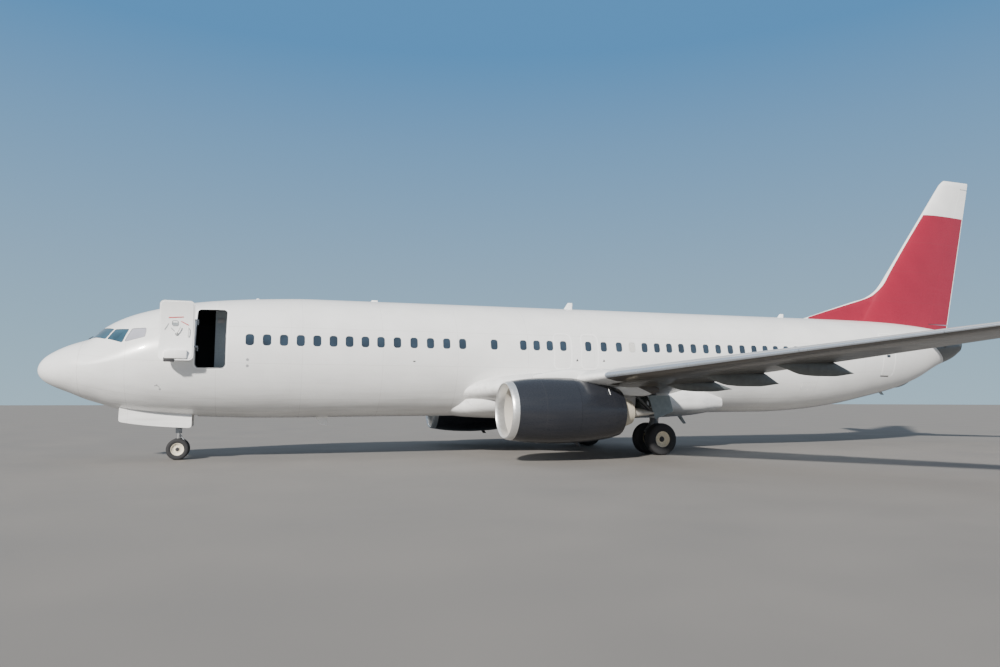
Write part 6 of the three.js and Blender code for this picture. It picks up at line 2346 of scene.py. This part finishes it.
    def lamps(self):
        dome = [(0.0, 0.055), (0.4, 0.052), (0.75, 0.036), (1.0, 0.008)]
        beacon = column("beacon", (16.4, 0, 1.205), (16.4, 0, 1.105), dome)
        finish_piece("beacon", beacon, "lamp_red", 35)
        for side, word in SIDES:
            start, end = (mean_point(side, row_at(WING, s), WING_CAMBER, 0.0) for s in (16.60, 16.97))
            ahead = Vector((0.012, 0, 0))
            lamp = rod("lamp", start + ahead, end + ahead, 0.030, 0.024)
            finish = "lamp_red" if side < 0 else "lamp_green"
            finish_piece(f"tip_lamp_{word}", lamp, finish, 40)
        lens = bar("lens", (CONE_END - 0.1, 0, 4.83), (CONE_END + 0.01, 0, 4.84), 0.03, 0.02)
        finish_piece("tail_lamp", lens, "lamp_clear", 40)

    def wicks(self):
        parts = []
        for side, _ in SIDES:
            for table, camber, inner, outer, count, reach in WICKS:
                wick = rod("wick", (0, 0, 0), (reach, 0, -0.004), 0.0035, 0.002, sides=6)
                start, end = (mean_point(side, row_at(table, s), camber, 1.0) for s in (inner, outer))
                stride = (end - start) / (count - 1)
                parts.append(set_out("wicks", wick, count, "seal", start, stride))
        wicks = join("wicks", [marked(part, 0) for part in parts])
        finish_piece("static_wicks", wicks, "seal")


class AIRLINER_OT_stage(bpy.types.Operator):
    """Sets the floor, the lights and the camera"""

    bl_idname = "airliner.stage"
    bl_label = "Stage"

    def execute(self, context):
        scene = context.scene
        corners = [(x, y, 0) for x, y in rectangle(-FLOOR_REACH, FLOOR_REACH, -FLOOR_REACH, FLOOR_REACH)]
        floor = bpy.data.objects.new("floor", mesh_of("floor", corners, [(0, 1, 2, 3)]))
        scene.collection.objects.link(floor)
        paving = plain("stage_floor", (0.19, 0.178, 0.165), roughness=0.8, grain=0.4, vary=0.04)
        floor.data.materials.append(paving)
        world = bpy.data.worlds.new("studio")
        world.use_nodes = True
        self.sky(world.node_tree)
        scene.world = world
        sun = bpy.data.lights.new("key", "SUN")
        sun.energy = 8.0
        sun.angle = math.radians(3)
        sun.color = (1.0, 0.96, 0.90)
        key = bpy.data.objects.new("key", sun)
        key.rotation_euler = SUN_TURN
        scene.collection.objects.link(key)
        lens = bpy.data.cameras.new("camera")
        lens.lens = CAMERA_LENS
        lens.sensor_width = 36.0
        lens.clip_end = 2000
        camera = bpy.data.objects.new("camera", lens)
        camera.location = place(*CAMERA_SPOT)
        camera.rotation_euler = CAMERA_TURN
        scene.collection.objects.link(camera)
        scene.camera = camera
        return {"FINISHED"}

    def sky(self, tree):
        """A clear sky to look at, over an even pale light."""
        towards = node(tree, "ShaderNodeTexCoord").outputs["Generated"]
        height = node(tree, "ShaderNodeSeparateXYZ", {0: towards}).outputs["Z"]
        rise = spread(tree, height, 0.0, 0.45)
        seen = mix_colour(tree, rise, (0.42, 0.60, 0.72, 1), (0.10, 0.30, 0.60, 1))
        by_camera = node(tree, "ShaderNodeLightPath").outputs["Is Camera Ray"]
        background = tree.nodes["Background"]
        tree.links.new(mix_colour(tree, by_camera, (0.60, 0.74, 0.92, 1), seen), background.inputs["Color"])
        tree.links.new(spread(tree, by_camera, 0.0, 1.0, 0.6, 1.0), background.inputs["Strength"])


class AIRLINER_PT_panel(bpy.types.Panel):
    """Lists the steps that build the airliner"""

    bl_idname = "AIRLINER_PT_panel"
    bl_label = "Airliner"
    bl_space_type = "VIEW_3D"
    bl_region_type = "UI"
    bl_category = "Airliner"

    def draw(self, context):
        for step in STEPS:
            self.layout.operator(step.bl_idname)


STEPS = (
    AIRLINER_OT_fuselage,
    AIRLINER_OT_windows,
    AIRLINER_OT_entry,
    AIRLINER_OT_wings,
    AIRLINER_OT_tail,
    AIRLINER_OT_engines,
    AIRLINER_OT_belly,
    AIRLINER_OT_main_gear,
    AIRLINER_OT_nose_gear,
    AIRLINER_OT_fittings,
    AIRLINER_OT_stage,
)
PARTS = (Sizes, Colours, *STEPS, AIRLINER_PT_panel)


def register():
    for part in PARTS:
        bpy.utils.register_class(part)
    bpy.types.Scene.airliner_sizes = PointerProperty(type=Sizes)
    bpy.types.Scene.airliner_colours = PointerProperty(type=Colours)


def unregister():
    del bpy.types.Scene.airliner_colours
    del bpy.types.Scene.airliner_sizes
    for part in reversed(PARTS):
        bpy.utils.unregister_class(part)


def main():
    register()
    build_materials(bpy.context.scene.airliner_colours)
    for step in STEPS:
        family, name = step.bl_idname.split(".")
        getattr(getattr(bpy.ops, family), name)()


if __name__ == "__main__":
    main()
